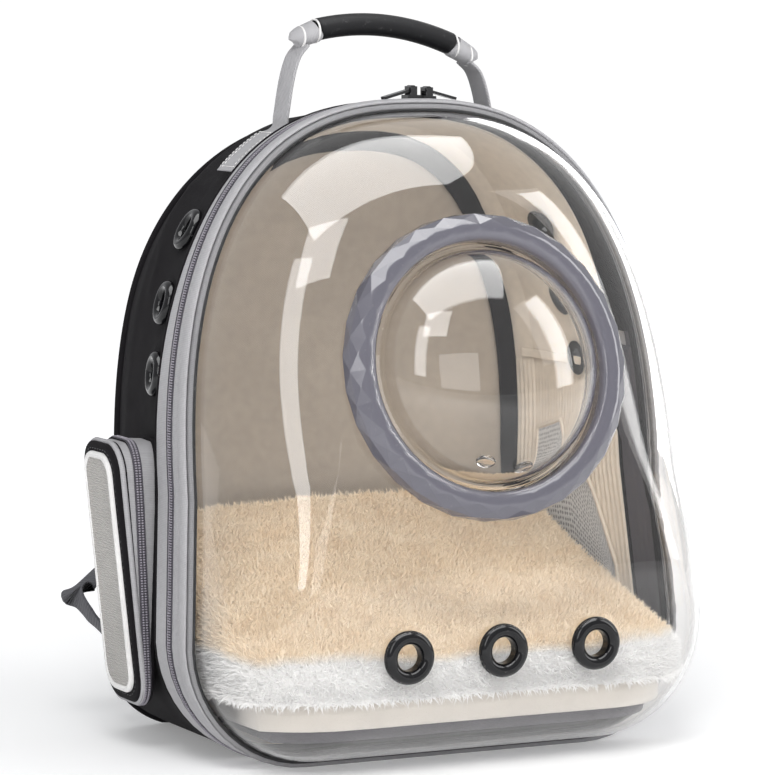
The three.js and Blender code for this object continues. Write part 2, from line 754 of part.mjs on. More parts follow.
// Rings that shrink towards the middle of the back
function backRings(share, inside, steps, depth) {
  const ring = bodyRing(share, inside);
  const middle = vector(0, 0, lerp(RIM_BOTTOM_HEIGHT, RIM_TOP_HEIGHT, BACK_MIDDLE_SHARE));
  const place = (p, step) => {
    const x = lerp(p.x, middle.x, step.in);
    const z = lerp(p.z, middle.z, step.in);
    return vector(x, backY(z) + depth(step), z);
  };
  return {
    rings: steps.map((step) => ring.map((p) => place(p, step))),
    middle: vector(0, backY(middle.z) + depth({ in: 1, swell: 1 }), middle.z),
  };
}

function makeBack() {
  const padded = [
    { in: 0, swell: 0.35 },
    { in: 0.03, swell: 0.7 },
    { in: 0.08, swell: 0.9 },
    { in: 0.5, swell: 1 },
  ];
  const flat = [padded[0], padded[3]];
  const inner = backRings(1, 0, padded, () => GAP);
  const outer = backRings(1, 0, padded, ({ swell }) => BACK_PANEL_THICKNESS * swell);
  add("back_panel", plate(inner, outer), blackCloth);
  const inside = BODY_WALL + LINING_WALL + 3 * GAP;
  const front = backRings(1, inside, flat, () => -LINING_WALL);
  const rear = backRings(1, inside, flat, () => 0);
  add("back_lining", plate(front, rear), taupeLining);
  const seamInside = inside + SEAM_RADIUS;
  const ring = Array.from({ length: SEAM_SIDES }, (_, i) => {
    const turn = (2 * Math.PI * i) / SEAM_SIDES;
    const loop = bodyRing(SEAM_SHARE, seamInside + SEAM_RADIUS * Math.cos(turn));
    return loop.map((p) =>
      vector(p.x, backY(p.z) - LINING_WALL - 2 * GAP - SEAM_RADIUS * (1 + Math.sin(turn)), p.z),
    );
  });
  add("back_seam", sweep(ring[0].map((_, i) => ring.map((loop) => loop[i])), true), blackCloth);
}

// Side pocket: outline in depth and height, with a rounded top and bottom
function pocketOutline(inset) {
  const halfDepth = (POCKET_REAR - POCKET_FRONT) / 2 - inset;
  const middleY = (POCKET_REAR + POCKET_FRONT) / 2;
  const round = halfDepth * POCKET_ROUND;
  const [low, high] = [POCKET_BOTTOM + inset, POCKET_TOP - inset];
  const corners = [
    { y: middleY + halfDepth - round, z: low + round, quarter: 3 },
    { y: middleY + halfDepth - round, z: high - round, quarter: 0 },
    { y: middleY - halfDepth + round, z: high - round, quarter: 1 },
    { y: middleY - halfDepth + round, z: low + round, quarter: 2 },
  ];
  return corners.flatMap(({ y, z, quarter }) =>
    Array.from({ length: POCKET_CORNER_STEPS }, (_, i) => {
      const angle = (Math.PI / 2) * (quarter + i / (POCKET_CORNER_STEPS - 1));
      return { y: y + round * Math.cos(angle), z: z + round * Math.sin(angle) };
    }),
  );
}

// The outer face of the pocket leans out towards its top
function pocketFaceX(z) {
  const share = (z - POCKET_BOTTOM) / (POCKET_TOP - POCKET_BOTTOM);
  return RIM_HALF_WIDTH + lerp(POCKET_OUT_BOTTOM, POCKET_OUT_TOP, share);
}

function makePocket(name, side) {
  const at = (x, { y, z }) => vector(side * x, y, z);
  const base = (p) => bodyHalfWidth(p.y, p.z) + 2 * GAP;
  const outer = pocketOutline(0);
  const inner = pocketOutline(POCKET_WALL);
  const gusset = outer.map((p, i) => [
    at(base(p), p),
    at(pocketFaceX(p.z) - POCKET_SEAM, p),
    at(pocketFaceX(inner[i].z) - POCKET_SEAM, inner[i]),
    at(base(inner[i]), inner[i]),
  ]);
  add(name + "_gusset", sweep(gusset, true), darkTape);
  const foot = pocketOutline(-GAP);
  const ridge = pocketOutline(-CHAIN_PROUD);
  const zip = ridge.map((p, i) => {
    const seat = foot[i];
    const middle = lerp(base(outer[i]), pocketFaceX(outer[i].z), POCKET_ZIP_SHARE);
    return [
      at(middle - POCKET_ZIP_WIDTH / 2, seat),
      at(middle + POCKET_ZIP_WIDTH / 2, seat),
      at(middle + POCKET_ZIP_WIDTH / 2, p),
      at(middle - POCKET_ZIP_WIDTH / 2, p),
    ];
  });
  add(name + "_zip", sweep(zip, true), zipTeeth);
  const middleY = (POCKET_FRONT + POCKET_REAR) / 2;
  const middleZ = (POCKET_BOTTOM + POCKET_TOP) / 2;
  const facePlate = (inset, low, thickness, swell) => {
    const loop = pocketOutline(inset);
    const faces = [low, low + thickness].map((height) => {
      const put = (y, z, rise) => vector(side * (pocketFaceX(z) + height + swell * rise), y, z);
      return {
        rings: pocketRings.map(({ shrink, rise }) =>
          loop.map((p) => put(lerp(p.y, middleY, shrink), lerp(p.z, middleZ, shrink), rise)),
        ),
        middle: put(middleY, middleZ, 1),
      };
    });
    return plate(faces[0], faces[1]);
  };
  const faceLow = GAP - POCKET_SEAM;
  add(name + "_face", facePlate(0, faceLow, POCKET_WALL, POCKET_SWELL), blackCloth);
  const panelLow = faceLow + POCKET_WALL + POCKET_SWELL + GAP;
  add(name + "_mesh_panel", facePlate(POCKET_BORDER, panelLow, POCKET_PANEL_THICKNESS, 0), meshCloth);
}

function makeMeshWindow(name, side) {
  const wall = BODY_WALL + GAP + LINING_WALL + MESH_CLEARANCE;
  const sections = meshColumns.map(({ share, low, high }) => {
    const [bottom, top] = [low, high].map((height) => lerp(POCKET_BOTTOM, POCKET_TOP, height));
    const heights = [bottom, Math.min(RIM_SPRING_HEIGHT, lerp(bottom, top, MESH_KNEE)), top];
    const place = (z, inside) => {
      const y = lerp(bodyFrontY(z), backY(z), share);
      return vector(side * (bodyHalfWidth(y, z) - inside), y, z);
    };
    const outer = heights.map((z) => place(z, wall));
    const inner = heights.map((z) => place(z, wall + MESH_THICKNESS));
    return [...outer, ...inner.reverse()];
  });
  add(name, sweep(sections, false), meshCloth);
}

// Floor board and mat. Their front edge follows the inside of the shell, their rear edge the back.
const layZ = (y, front) => front - BOARD_SLOPE * (y + SHELL_DEPTH * 0.75);
const matMiddleY = (BODY_BACK - SHELL_DEPTH) / 2;

// Plan of a flat layer whose lowest edge is at a height: half widths at shares of the depth
function layerPlan(height, halfWidth) {
  const clearance = SHELL_WALL + MAT_CLEARANCE;
  const wall = BODY_WALL + LINING_WALL + MAT_CLEARANCE + SEAM_RADIUS * 2;
  const front = Array.from({ length: MAT_FRONT_POINTS }, (_, i) => {
    const x = lerp(-halfWidth, halfWidth, i / (MAT_FRONT_POINTS - 1)) * MAT_FRONT_SHARE;
    return { x, y: shellY(x, height - clearance) + clearance };
  });
  const last = MAT_REAR_POINTS - 1;
  const rear = Array.from({ length: MAT_REAR_POINTS }, (_, i) => {
    const corner = i === 0 || i === last ? MAT_REAR_CORNER : 0;
    return { x: lerp(halfWidth, -halfWidth, i / last), y: BODY_BACK - wall - corner };
  });
  const depths = MAT_SIDE_SHARES.map((share) => lerp(front[0].y, BODY_BACK - wall, share));
  const right = depths.map((y) => ({ x: halfWidth, y }));
  const left = depths.map((y) => ({ x: -halfWidth, y })).reverse();
  return [...front, ...right, ...rear, ...left];
}

// A layer with a flat foot and a shaped top
function layer(plan, foot, top) {
  const middle = { x: 0, y: matMiddleY };
  const face = (height, insets) => ({
    rings: insets.map(({ shrink, share }) =>
      plan.map((p) => {
        const x = lerp(p.x, middle.x, shrink);
        const y = lerp(p.y, middle.y, shrink);
        return vector(x, y, lerp(foot(x, y), height(x, y), share));
      }),
    ),
    middle: vector(middle.x, middle.y, height(middle.x, middle.y)),
  });
  const upper = [
    { shrink: 0, share: 0.62 },
    { shrink: 0.05, share: 0.92 },
    { shrink: 0.14, share: 1 },
    { shrink: 0.5, share: 1 },
  ];
  const under = [
    { shrink: 0, share: 0 },
    { shrink: 0.5, share: 0 },
  ];
  return plate(face(top, upper), face(foot, under));
}

// Half width inside the rounded lower corners of the lining at a height
function layerHalfWidth(z) {
  const side = -BODY_SIDE_IN * bodySections[3].side;
  const inside = BODY_WALL + LINING_WALL + GAP + MAT_SIDE_CLEARANCE;
  const radius = RIM_CORNER_RADIUS + side - inside;
  const foot = BODY_FLOOR + inside;
  const cornerTop = foot + radius;
  const widest = RIM_HALF_WIDTH + side - inside + RIM_SIDE_TAPER * (RIM_SPRING_HEIGHT - cornerTop);
  const below = Math.max(cornerTop - z, 0);
  return widest - radius + Math.sqrt(radius ** 2 - below ** 2);
}

function makeMat() {
  const boardFoot = (x, y) => layZ(y, BOARD_FRONT_HEIGHT);
  const boardTop = (x, y) => boardFoot(x, y) + BOARD_THICKNESS;
  const baseFoot = (x, y) => boardTop(x, y) + GAP;
  const baseTop = (x, y) => baseFoot(x, y) + MAT_BASE_THICKNESS;
  const matFoot = (x, y) => baseTop(x, y) + GAP;
  const matTop = (x, y) => {
    const share = (y + SHELL_DEPTH) / (BODY_BACK + SHELL_DEPTH);
    const rise = lerp(MAT_FRONT_HEIGHT, MAT_BACK_HEIGHT, share ** MAT_RISE_POWER);
    return matFoot(x, y) + rise - MAT_CROWN * (x / RIM_HALF_WIDTH) ** 2;
  };
  const lowest = boardFoot(0, BODY_BACK);
  const planAt = (up) => layerPlan(BOARD_FRONT_HEIGHT + up, layerHalfWidth(lowest + up));
  const padUp = BOARD_THICKNESS + MAT_BASE_THICKNESS;
  add("floor_board", layer(planAt(0), boardFoot, boardTop), darkTape);
  add("mat_base", layer(planAt(BOARD_THICKNESS), baseFoot, baseTop), creamPlush);
  add("mat_pad", layer(planAt(padUp), matFoot, matTop), tanPlush);
}

// A flat strip along a path: its width lies along an axis, its thickness across
function ribbon(path, width, thickness, axis, rounded = false) {
  const corners = rounded
    ? [
        { w: -0.5, t: -0.15 },
        { w: -0.42, t: -0.5 },
        { w: 0.42, t: -0.5 },
        { w: 0.5, t: -0.15 },
        { w: 0.5, t: 0.15 },
        { w: 0.42, t: 0.5 },
        { w: -0.42, t: 0.5 },
        { w: -0.5, t: 0.15 },
      ]
    : [
        { w: -0.5, t: -0.5 },
        { w: 0.5, t: -0.5 },
        { w: 0.5, t: 0.5 },
        { w: -0.5, t: 0.5 },
      ];
  const sections = path.map((p, i) => {
    const along = path[Math.min(i + 1, path.length - 1)].clone().sub(path[Math.max(i - 1, 0)]).normalize();
    const across = axis.clone().addScaledVector(along, -axis.dot(along)).normalize();
    const normal = along.clone().cross(across);
    return corners.map(({ w, t }) =>
      p.clone().addScaledVector(across, w * width).addScaledVector(normal, t * thickness),
    );
  });
  return sweep(sections, false);
}

// Top handle: a round grip between two folded collars, each on a webbing leg sewn to the arch
function makeHandle() {
  const y = rimY(RIM_TOP_HEIGHT) + HANDLE_OFFSET;
  const half = GRIP_LENGTH / 2;
  const gripZ = (x) => RIM_TOP_HEIGHT + HANDLE_RISE - (HANDLE_DROP * x) / half;
  const bar = (stations, radius) =>
    sweep(
      stations.map(({ x, scale }) =>
        Array.from({ length: BAR_SIDES }, (_, i) => {
          const turn = (2 * Math.PI * i) / BAR_SIDES;
          const depth = BAR_FLATTENING * radius * scale * Math.cos(turn);
          return vector(x, y + depth, gripZ(x) + radius * scale * Math.sin(turn));
        }),
      ),
      false,
    );
  const grip = [
    { x: -half, scale: 0.8 },
    { x: -0.94 * half, scale: 1 },
    { x: 0.94 * half, scale: 1 },
    { x: half, scale: 0.8 },
  ];
  add("handle_grip", bar(grip, GRIP_RADIUS), blackPlastic);
  for (const [name, side] of sides) {
    const inner = half + GAP;
    const collar = [
      { x: side * inner, scale: 0.9 },
      { x: side * (inner + COLLAR_LENGTH * 0.3), scale: 1.05 },
      { x: side * (inner + COLLAR_LENGTH * 0.75), scale: 1 },
      { x: side * (inner + COLLAR_LENGTH), scale: 0.6 },
    ];
    add("handle_collar_" + name, bar(collar, COLLAR_RADIUS), greyTape);
    const share = bodyShareAt(y - WEBBING_WIDTH / 2, RIM_TOP_HEIGHT);
    const { side: sideGrow, top } = bodyGrow(share);
    const lift = 2 * GAP + WEBBING_THICKNESS / 2;
    const onArch = (x) => vector(side * x, y, archHeightAt(x, sideGrow, top) + lift);
    const start = inner + COLLAR_LENGTH * 0.62;
    const underCollar = gripZ(side * start) + GAP - COLLAR_RADIUS - WEBBING_THICKNESS / 2;
    const bend = onArch(HANDLE_FOOT);
    const path = [
      vector(side * start, y, underCollar),
      vector(side * lerp(start, HANDLE_FOOT, 0.55), y, lerp(underCollar, bend.z, 0.4)),
      vector(side * lerp(start, HANDLE_FOOT, 0.9), y, lerp(underCollar, bend.z, 0.85)),
      bend,
      onArch(HANDLE_FOOT + HANDLE_PATCH * 0.35),
      onArch(HANDLE_FOOT + HANDLE_PATCH * 0.7),
      onArch(HANDLE_FOOT + HANDLE_PATCH),
    ];
    const webbing = ribbon(path, WEBBING_WIDTH, WEBBING_THICKNESS, vector(0, 1, 0));
    add("handle_webbing_" + name, webbing, greyTape);
  }
}

// Shoulder straps, each with an adjuster and a webbing that bows out to its anchor low on the body
function makeStraps() {
  const axis = vector(1, 0, 0);
  const behindPanel = (z) => backY(z) + BACK_PANEL_THICKNESS + 2 * GAP + STRAP_THICKNESS / 2;
  const anchorY = BODY_BACK - STRAP_ANCHOR_IN;
  const anchorX = bodyHalfWidth(anchorY - STRAP_WEBBING_WIDTH / 2, STRAP_ANCHOR_HEIGHT);
  for (const [name, side] of sides) {
    const path = strapRows.map(({ across, behind, height }) => {
      const z = RIM_TOP_HEIGHT * height;
      return vector(side * across * RIM_HALF_WIDTH, behindPanel(z) + behind * STRAP_REACH, z);
    });
    add("shoulder_strap_" + name, ribbon(path, STRAP_WIDTH, STRAP_THICKNESS, axis, true), blackCloth);
    const end = path[path.length - 1];
    const along = end.clone().sub(path[path.length - 2]).normalize();
    const past = (distance) => end.clone().addScaledVector(along, distance);
    const buckle = [past(GAP), past(GAP + ADJUSTER_LENGTH)];
    add("strap_adjuster_" + name, ribbon(buckle, ADJUSTER_WIDTH, ADJUSTER_THICKNESS, axis), blackPlastic);
    const leave = past(2 * GAP + ADJUSTER_LENGTH);
    const bow = anchorX + LOOP_OUT;
    const rear = BODY_BACK + (BACK_PANEL_THICKNESS + STRAP_WEBBING_WIDTH) / 2;
    const fall = leave.z - STRAP_ANCHOR_HEIGHT;
    const webbing = [
      leave,
      past(2 * GAP + ADJUSTER_LENGTH + LOOP_LEAD),
      ...loopRows.map(({ across, back, down }) =>
        vector(side * lerp(Math.abs(leave.x), bow, across), lerp(leave.y, rear, back), leave.z - down),
      ),
      ...dropRows.map(({ out, forward, height }) => {
        const x = anchorX + lerp(GAP + STRAP_WEBBING_THICKNESS / 2, LOOP_OUT, out);
        return vector(side * x, lerp(rear, anchorY, forward), STRAP_ANCHOR_HEIGHT + fall * height);
      }),
    ];
    const loop = ribbon(webbing, STRAP_WEBBING_WIDTH, STRAP_WEBBING_THICKNESS, vector(0, 1, 0));
    add("strap_webbing_" + name, loop, strapWebbing);
  }
}

// Zip sliders with a cross pin, and the pulls that turn on them. Each seat is where a slider meets the zip.
function makeSliders() {
  const eyeRadius = PIN_RADIUS + PIVOT_GAP + EYE_WALL;
  const pinHeight = SLIDER_HEIGHT + eyeRadius + PIVOT_GAP;
  const pinLength = PULL_WIDTH + 2 * PIVOT_GAP + 2 * CHEEK_WALL;
  const cheekHeight = pinHeight + PIN_RADIUS + CHEEK_MARGIN;
  const cheekWidth = 2 * (PIN_RADIUS + CHEEK_MARGIN);
  const across = vector(0, 0, 1);
  const pinMiddle = vector(0, pinHeight, 0);
  const base = block(SLIDER_LENGTH, SLIDER_HEIGHT, SLIDER_WIDTH, vector(0, SLIDER_HEIGHT / 2, 0));
  const cheekOut = (pinLength - CHEEK_WALL) / 2;
  const cheeks = [-cheekOut, cheekOut].map((out) =>
    block(cheekWidth, cheekHeight, CHEEK_WALL, vector(0, cheekHeight / 2, out)),
  );
  const slider = fuse([base, ...cheeks, rod(PIN_RADIUS, pinLength - CHEEK_WALL, pinMiddle, across)]);
  const tabStart = PIN_RADIUS + PIVOT_GAP;
  const tabMiddle = (PULL_LENGTH + tabStart) / 2;
  const eye = rod(eyeRadius, PULL_WIDTH, vector(0, 0, 0), across);
  const bore = rod(PIN_RADIUS + PIVOT_GAP, 2 * PULL_WIDTH, vector(0, 0, 0), across);
  const y = rimY(RIM_TOP_HEIGHT) + chainFront(RIM_TOP_HEIGHT) + CHAIN_WIDTH / 2;
  const chain = outline(BAND_OUT + CHAIN_PROUD);
  for (const [name, side] of sides) {
    const x = SLIDERS_MEET + (side * SLIDERS_APART) / 2;
    const seat = seatAt(vector(x, y, ringHeightAt(chain, x - SLIDER_LENGTH / 2) + GAP), vector(0, 0, 1));
    add("zip_slider_" + name, slider, zipMetal, seat);
    const hinge = new THREE.Group();
    hinge.position.copy(pinMiddle);
    hinge.rotation.z = -side * PULL_DROP;
    seat.add(hinge);
    const tab = block(PULL_LENGTH - tabStart, PULL_THICKNESS, PULL_WIDTH, vector(side * tabMiddle, 0, 0));
    add("zip_pull_" + name, cut(fuse([eye, tab]), [bore]), zipMetal, hinge);
  }
}

makeShell();
const windowSeat = seatAt(windowMiddle, windowNormal);
makeRing(windowSeat);
makeWindow(windowSeat);
makeVents();
makeGasket();
makeGusset();
makeBody();
makeBack();
for (const [name, side] of sides) {
  makePocket("pocket_" + name, side);
  makeMeshWindow("mesh_window_" + name, side);
}
makeMat();
makeHandle();
makeStraps();
makeSliders();

// The origin is the middle of the foot of the whole object
const bounds = new THREE.Box3().setFromObject(group, true);
const centre = bounds.getCenter(new THREE.Vector3());
group.position.set(-centre.x, -centre.y, -bounds.min.z);

export default group;
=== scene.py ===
"""Looks of a bubble pet carrier backpack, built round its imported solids.

Metres, +Z up, the clear shell faces -Y.
"""

import math

import bmesh
import bpy
import numpy as np
from bpy.props import FloatProperty, FloatVectorProperty, IntProperty, PointerProperty
from mathutils import Matrix, Vector, noise


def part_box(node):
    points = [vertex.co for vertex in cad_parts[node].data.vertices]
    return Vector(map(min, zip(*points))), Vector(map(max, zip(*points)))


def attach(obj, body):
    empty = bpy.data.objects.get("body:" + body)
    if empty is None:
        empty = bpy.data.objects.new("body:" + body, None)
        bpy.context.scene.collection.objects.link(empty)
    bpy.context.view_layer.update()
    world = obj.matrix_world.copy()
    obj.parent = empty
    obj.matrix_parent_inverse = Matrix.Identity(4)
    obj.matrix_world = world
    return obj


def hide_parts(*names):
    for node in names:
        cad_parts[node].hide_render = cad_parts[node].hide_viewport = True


bl_info = {
    "name": "Bubble Pet Carrier",
    "version": (1, 0, 0),
    "blender": (4, 5, 0),
    "location": "3D View > Sidebar > Carrier",
    "description": "Dresses the solids of a bubble pet carrier backpack with cloth, plastic, plush and zips",
    "category": "Object",
}

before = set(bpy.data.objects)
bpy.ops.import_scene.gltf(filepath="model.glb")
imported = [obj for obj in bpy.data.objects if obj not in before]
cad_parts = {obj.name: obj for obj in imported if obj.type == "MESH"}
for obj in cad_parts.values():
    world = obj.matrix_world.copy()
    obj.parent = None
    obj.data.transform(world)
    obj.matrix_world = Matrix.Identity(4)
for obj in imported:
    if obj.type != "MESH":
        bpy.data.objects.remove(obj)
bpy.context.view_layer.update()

# The form in millimetres, as the solids have it
RIM_HALF_WIDTH = 167
RIM_SPRING = 173
RIM_TOP = 415
RIM_FOOT = 5
RIM_CORNER = 73
RIM_POWER = 2.5
RIM_TAPER = 0.07
RIM_LEAN = math.radians(6.5)
SHELL_DEPTH = 81
SHELL_WALL = 2.5
SHELL_TILT = math.radians(12.8)
SHELL_BEND = 0.33 * RIM_TOP
SHELL_BLEND = 20
SHELL_ROUND_SIDE = 85
SHELL_ROUND_END = 62
WINDOW_HEIGHT = 0.617 * RIM_TOP
WINDOW_HOLE = 79
WINDOW_RISE = 48
WINDOW_BASE = 74.2
WINDOW_FOOT = 6.5
RING_WIDTH = 19
RING_THICKNESS = 15
VENT_HEIGHT = 0.193 * RIM_TOP
VENT_SPACING = 66
SIDE_EYELETS = {"low": 0.593 * RIM_TOP, "middle": 0.701 * RIM_TOP, "high": 0.812 * RIM_TOP}
SIDE_EYELET_BEHIND = 66
BAND_TOP = 27
BAND_SIDE = 47
BAND_OUT = 5
BAND_START = 8.3
CHAIN_WIDTH = 6
BODY_WALL = 3
BODY_FOOT = 0.6
BODY_BACK = 180
BODY_SLOPE_HEIGHT = 285
BODY_FORWARD = 34
BODY_SECTIONS = [(0, 2, 1), (0.2, -4, 0), (0.45, -7, -0.5), (0.8, -9, -2), (1, -15, -9)]  # share, side, top
BACK_THICKNESS = 11
FLOOR_HEIGHT = 25
BOARD_THICKNESS = 8
BASE_THICKNESS = 18
MAT_THICKNESS = (28, 122)
LAYER_GAP = 0.3
EDGE_ROWS = 12
LAYER_CORNER = 14
STRAP_HALF_WIDTH = 27.2
GRIP_HALF_LENGTH = 49
GRIP_HEIGHT = RIM_TOP + 51
POCKET_DEPTHS = (74, 130)
POCKET_HEIGHTS = (34, 203)
POCKET_OUT = (12, 30)
STRAP_ROWS = [
    (0.22, 0.05, 0.905),
    (0.25, 0.45, 0.88),
    (0.31, 0.9, 0.8),
    (0.4, 1, 0.68),
    (0.5, 0.95, 0.54),
    (0.59, 0.78, 0.42),
    (0.66, 0.6, 0.33),
]
MM = 0.001
SIDES = (("left", -1), ("right", 1))
SHIFT = np.array([0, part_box("front_shell")[0][1] / MM + SHELL_DEPTH, -BODY_FOOT])


def lerp(a, b, t):
    return a + (b - a) * t


def ease(t):
    t = np.clip(t, 0, 1)
    return t * t * (3 - 2 * t)


def place(points):
    """Model millimetres to the frame's metres"""
    return (np.asarray(points, float) + SHIFT) * MM


def look():
    return bpy.context.scene.carrier_look


# Forms


def rim_y(z):
    return (z - RIM_FOOT) * math.tan(RIM_LEAN)


def outline(side, top=None, bottom=None, fine=1):
    """The rim grown outwards, as across and height, from the middle of the foot up the right side"""
    top = side if top is None else top
    bottom = side if bottom is None else bottom
    half_width = RIM_HALF_WIDTH + side
    rise = RIM_TOP - RIM_SPRING + top
    foot = RIM_FOOT - bottom
    radius = RIM_CORNER + side
    corner_top = foot + radius
    widest = half_width + RIM_TAPER * (RIM_SPRING - corner_top)
    flat = widest - radius
    run, corner, straight, arch = (np.arange(n * fine) / (n * fine) for n in (6, 12, 10, 36))
    corner, arch = corner * math.pi / 2, arch * math.pi / 2
    x = [flat * run, flat + radius * np.sin(corner), lerp(widest, half_width, straight)]
    z = [foot + 0 * run, corner_top - radius * np.cos(corner), lerp(corner_top, RIM_SPRING, straight)]
    x.append(half_width * np.cos(arch) ** (2 / RIM_POWER))
    z.append(RIM_SPRING + rise * np.sin(arch) ** (2 / RIM_POWER))
    half = np.stack([np.concatenate(x), np.concatenate(z)], 1)
    return np.concatenate([half, [[0, RIM_SPRING + rise]], half[:0:-1] * [-1, 1]])


def half_width_at(z, grow):
    z = np.asarray(z, float)
    rise = RIM_TOP - RIM_SPRING + grow
    up = np.clip((z - RIM_SPRING) / rise, 0, 1)
    arch = (RIM_HALF_WIDTH + grow) * (1 - up**RIM_POWER) ** (1 / RIM_POWER)
    return np.where(z >= RIM_SPRING, arch, RIM_HALF_WIDTH + grow + RIM_TAPER * (RIM_SPRING - z))


def arch_height(x, side, top):
    across = np.minimum(np.abs(x) / (RIM_HALF_WIDTH + side), 1)
    return RIM_SPRING + (RIM_TOP - RIM_SPRING + top) * (1 - across**RIM_POWER) ** (1 / RIM_POWER)


def front_y(z):
    above = np.asarray(z, float) - SHELL_BEND
    bend = (above + SHELL_BLEND) ** 2 / (4 * SHELL_BLEND)
    ramp = np.where(above < -SHELL_BLEND, 0, np.where(above > SHELL_BLEND, above, bend))
    return -SHELL_DEPTH + ramp * math.tan(SHELL_TILT)


def shell_reach(across, up, inside=0.0):
    """How far the rim lies from the height of the window in each direction"""
    ring = outline(-inside) - [0, WINDOW_HEIGHT]
    angles = np.arctan2(ring[:, 0], ring[:, 1])
    order = np.argsort(angles)
    return np.interp(np.arctan2(across, up), angles[order], np.hypot(*ring.T)[order], period=2 * math.pi)


def shell_y(x, z, inside=0.0):
    """Skin of the clear shell at places across and up, a distance inside its outer face"""
    up = z - WINDOW_HEIGHT
    reach = np.maximum(np.hypot(x, up), 1e-6)
    end = lerp(SHELL_ROUND_SIDE, SHELL_ROUND_END, (up / reach) ** 2) - inside
    turn = np.clip(1 - np.maximum(shell_reach(x, up, inside) - reach, 0) / end, 0, 1)
    return lerp(rim_y(z), front_y(z) + inside, np.sqrt(1 - turn**2))


def band_depth(z):
    return lerp(BAND_SIDE, BAND_TOP, ease((np.asarray(z, float) - 190) / 195))


def chain_front(z):
    return BAND_START + (band_depth(z) - 14) * 0.42


def chain_back(z):
    return chain_front(z) + CHAIN_WIDTH


def rim_loop(section, fine=1):
    """Stations round the rim of a section given as how far out and how far behind"""
    columns = []
    for out, behind in section:
        ring = outline(out, out, min(out, RIM_FOOT - BODY_FOOT), fine)
        y = rim_y(ring[:, 1]) + (behind(ring[:, 1]) if callable(behind) else behind)
        columns.append(np.stack([ring[:, 0], y, ring[:, 1]], 1))
    return np.stack(columns, 1)


def back_y(z):
    above = np.maximum(0, np.asarray(z, float) - BODY_SLOPE_HEIGHT)
    return BODY_BACK - BODY_FORWARD * (above / (RIM_TOP - BODY_SLOPE_HEIGHT)) ** 2


def body_front_y(z):
    return rim_y(z) + band_depth(z) + 0.3


def body_grow(share):
    shares, side, top = zip(*BODY_SECTIONS)
    return np.interp(share, shares, side), np.interp(share, shares, top)


def body_half_width(y, z):
    share = (y - body_front_y(z)) / (back_y(z) - body_front_y(z))
    return half_width_at(z, body_grow(share)[0])


def away_from(points, kept, middle):
    """Directions away from a middle, with only the kept axes"""
    away = points * kept - middle
    return away / (np.linalg.norm(away, axis=1)[:, None] + 1e-9)


def body_ring(share, inside, fine=1):
    side, top = body_grow(share)
    ring = outline(side - inside, top - inside, RIM_FOOT - BODY_FOOT - inside, fine)
    y = lerp(body_front_y(ring[:, 1]), back_y(ring[:, 1]), share)
    return np.stack([ring[:, 0], y, ring[:, 1]], 1)


def spline(points, count):
    """Points on a smooth curve through a few places"""
    p = np.asarray(points, float)
    p = np.concatenate([[2 * p[0] - p[1]], p, [2 * p[-1] - p[-2]]])
    steps = np.linspace(0, len(p) - 3 - 1e-9, count)
    i = steps.astype(int)
    t = (steps - i)[:, None]
    a, b, c, d = (p[i + k] for k in range(4))
    return 0.5 * (2 * b + (c - a) * t + (2 * a - 5 * b + 4 * c - d) * t**2 + (3 * b - a - 3 * c + d) * t**3)


def wander(points, size, seed=0.0):
    """Smooth noise between -1 and 1 at places in millimetres"""
    return np.array([noise.noise(Vector(p) / size + Vector((seed, seed * 1.7, -seed))) for p in points])


# Making of meshes


def object_of(name, mesh, material, crease=None):
    obj = bpy.data.objects.new(name, mesh)
    bpy.context.scene.collection.objects.link(obj)
    mesh.materials.clear()
    mesh.materials.append(material)
    mesh.polygons.foreach_set("use_smooth", [True] * len(mesh.polygons))
    if crease is not None:
        mesh.set_sharp_from_angle(angle=math.radians(crease))
    mesh.update()
    return obj


def skin(name, rows, material, ring=False, crease=40):
    """A closed skin through rows of points in model millimetres. Each row closes on itself.
    The rows form a ring, or the first and last row are closed by a face or are one point."""
    rows = np.asarray(rows, float)
    count, width = rows.shape[:2]
    runs = count if ring else count - 1
    i = np.repeat(np.arange(runs), width)
    j = np.tile(np.arange(width), runs)
    after, beside = (i + 1) % count, (j + 1) % width
    quads = np.stack([i * width + j, i * width + beside, after * width + beside, after * width + j], 1)
    across = np.cumsum(np.linalg.norm(rows[:, [*range(1, width), 0]] - rows, axis=2).mean(0)) * MM
    along = np.cumsum(np.linalg.norm(rows[[*range(1, count), 0]] - rows, axis=2).mean(1)) * MM
    across, along = np.concatenate([[0], across]), np.concatenate([[0], along])
    uv = np.stack([across[[j, j + 1, j + 1, j]], along[[i, i, i + 1, i + 1]]], -1).transpose(1, 0, 2)
    verts = rows.reshape(-1, 3)
    a, b, c, d = (verts[quads[:, k]] for k in range(4))
    volume = (a * np.cross(b, c)).sum() + (a * np.cross(c, d)).sum()
    faces = quads.tolist()
    ends = [] if ring else [list(range(width))[::-1], list(range((count - 1) * width, count * width))]
    for end in ends:
        p = verts[end]
        volume += sum(p[0] @ np.cross(p[k], p[k + 1]) for k in range(1, width - 1))
        if np.ptp(p, axis=0).max() > 1e-6:
            faces.append(end)
    corners = [*uv.reshape(-1, 2).tolist()]
    for face in faces[len(quads) :]:
        corners += [[(verts[k][0] + verts[k][1]) * MM, verts[k][2] * MM] for k in face]
    if volume < 0:
        faces = [face[::-1] for face in faces]
        turned, start = [], 0
        for face in faces:
            turned += corners[start : start + len(face)][::-1]
            start += len(face)
        corners = turned
    mesh = bpy.data.meshes.new(name)
    mesh.from_pydata(place(verts).tolist(), [], faces)
    mesh.uv_layers.new(name="cloth").data.foreach_set("uv", np.array(corners).ravel())
    merge(mesh)
    return object_of(name, mesh, material, crease)


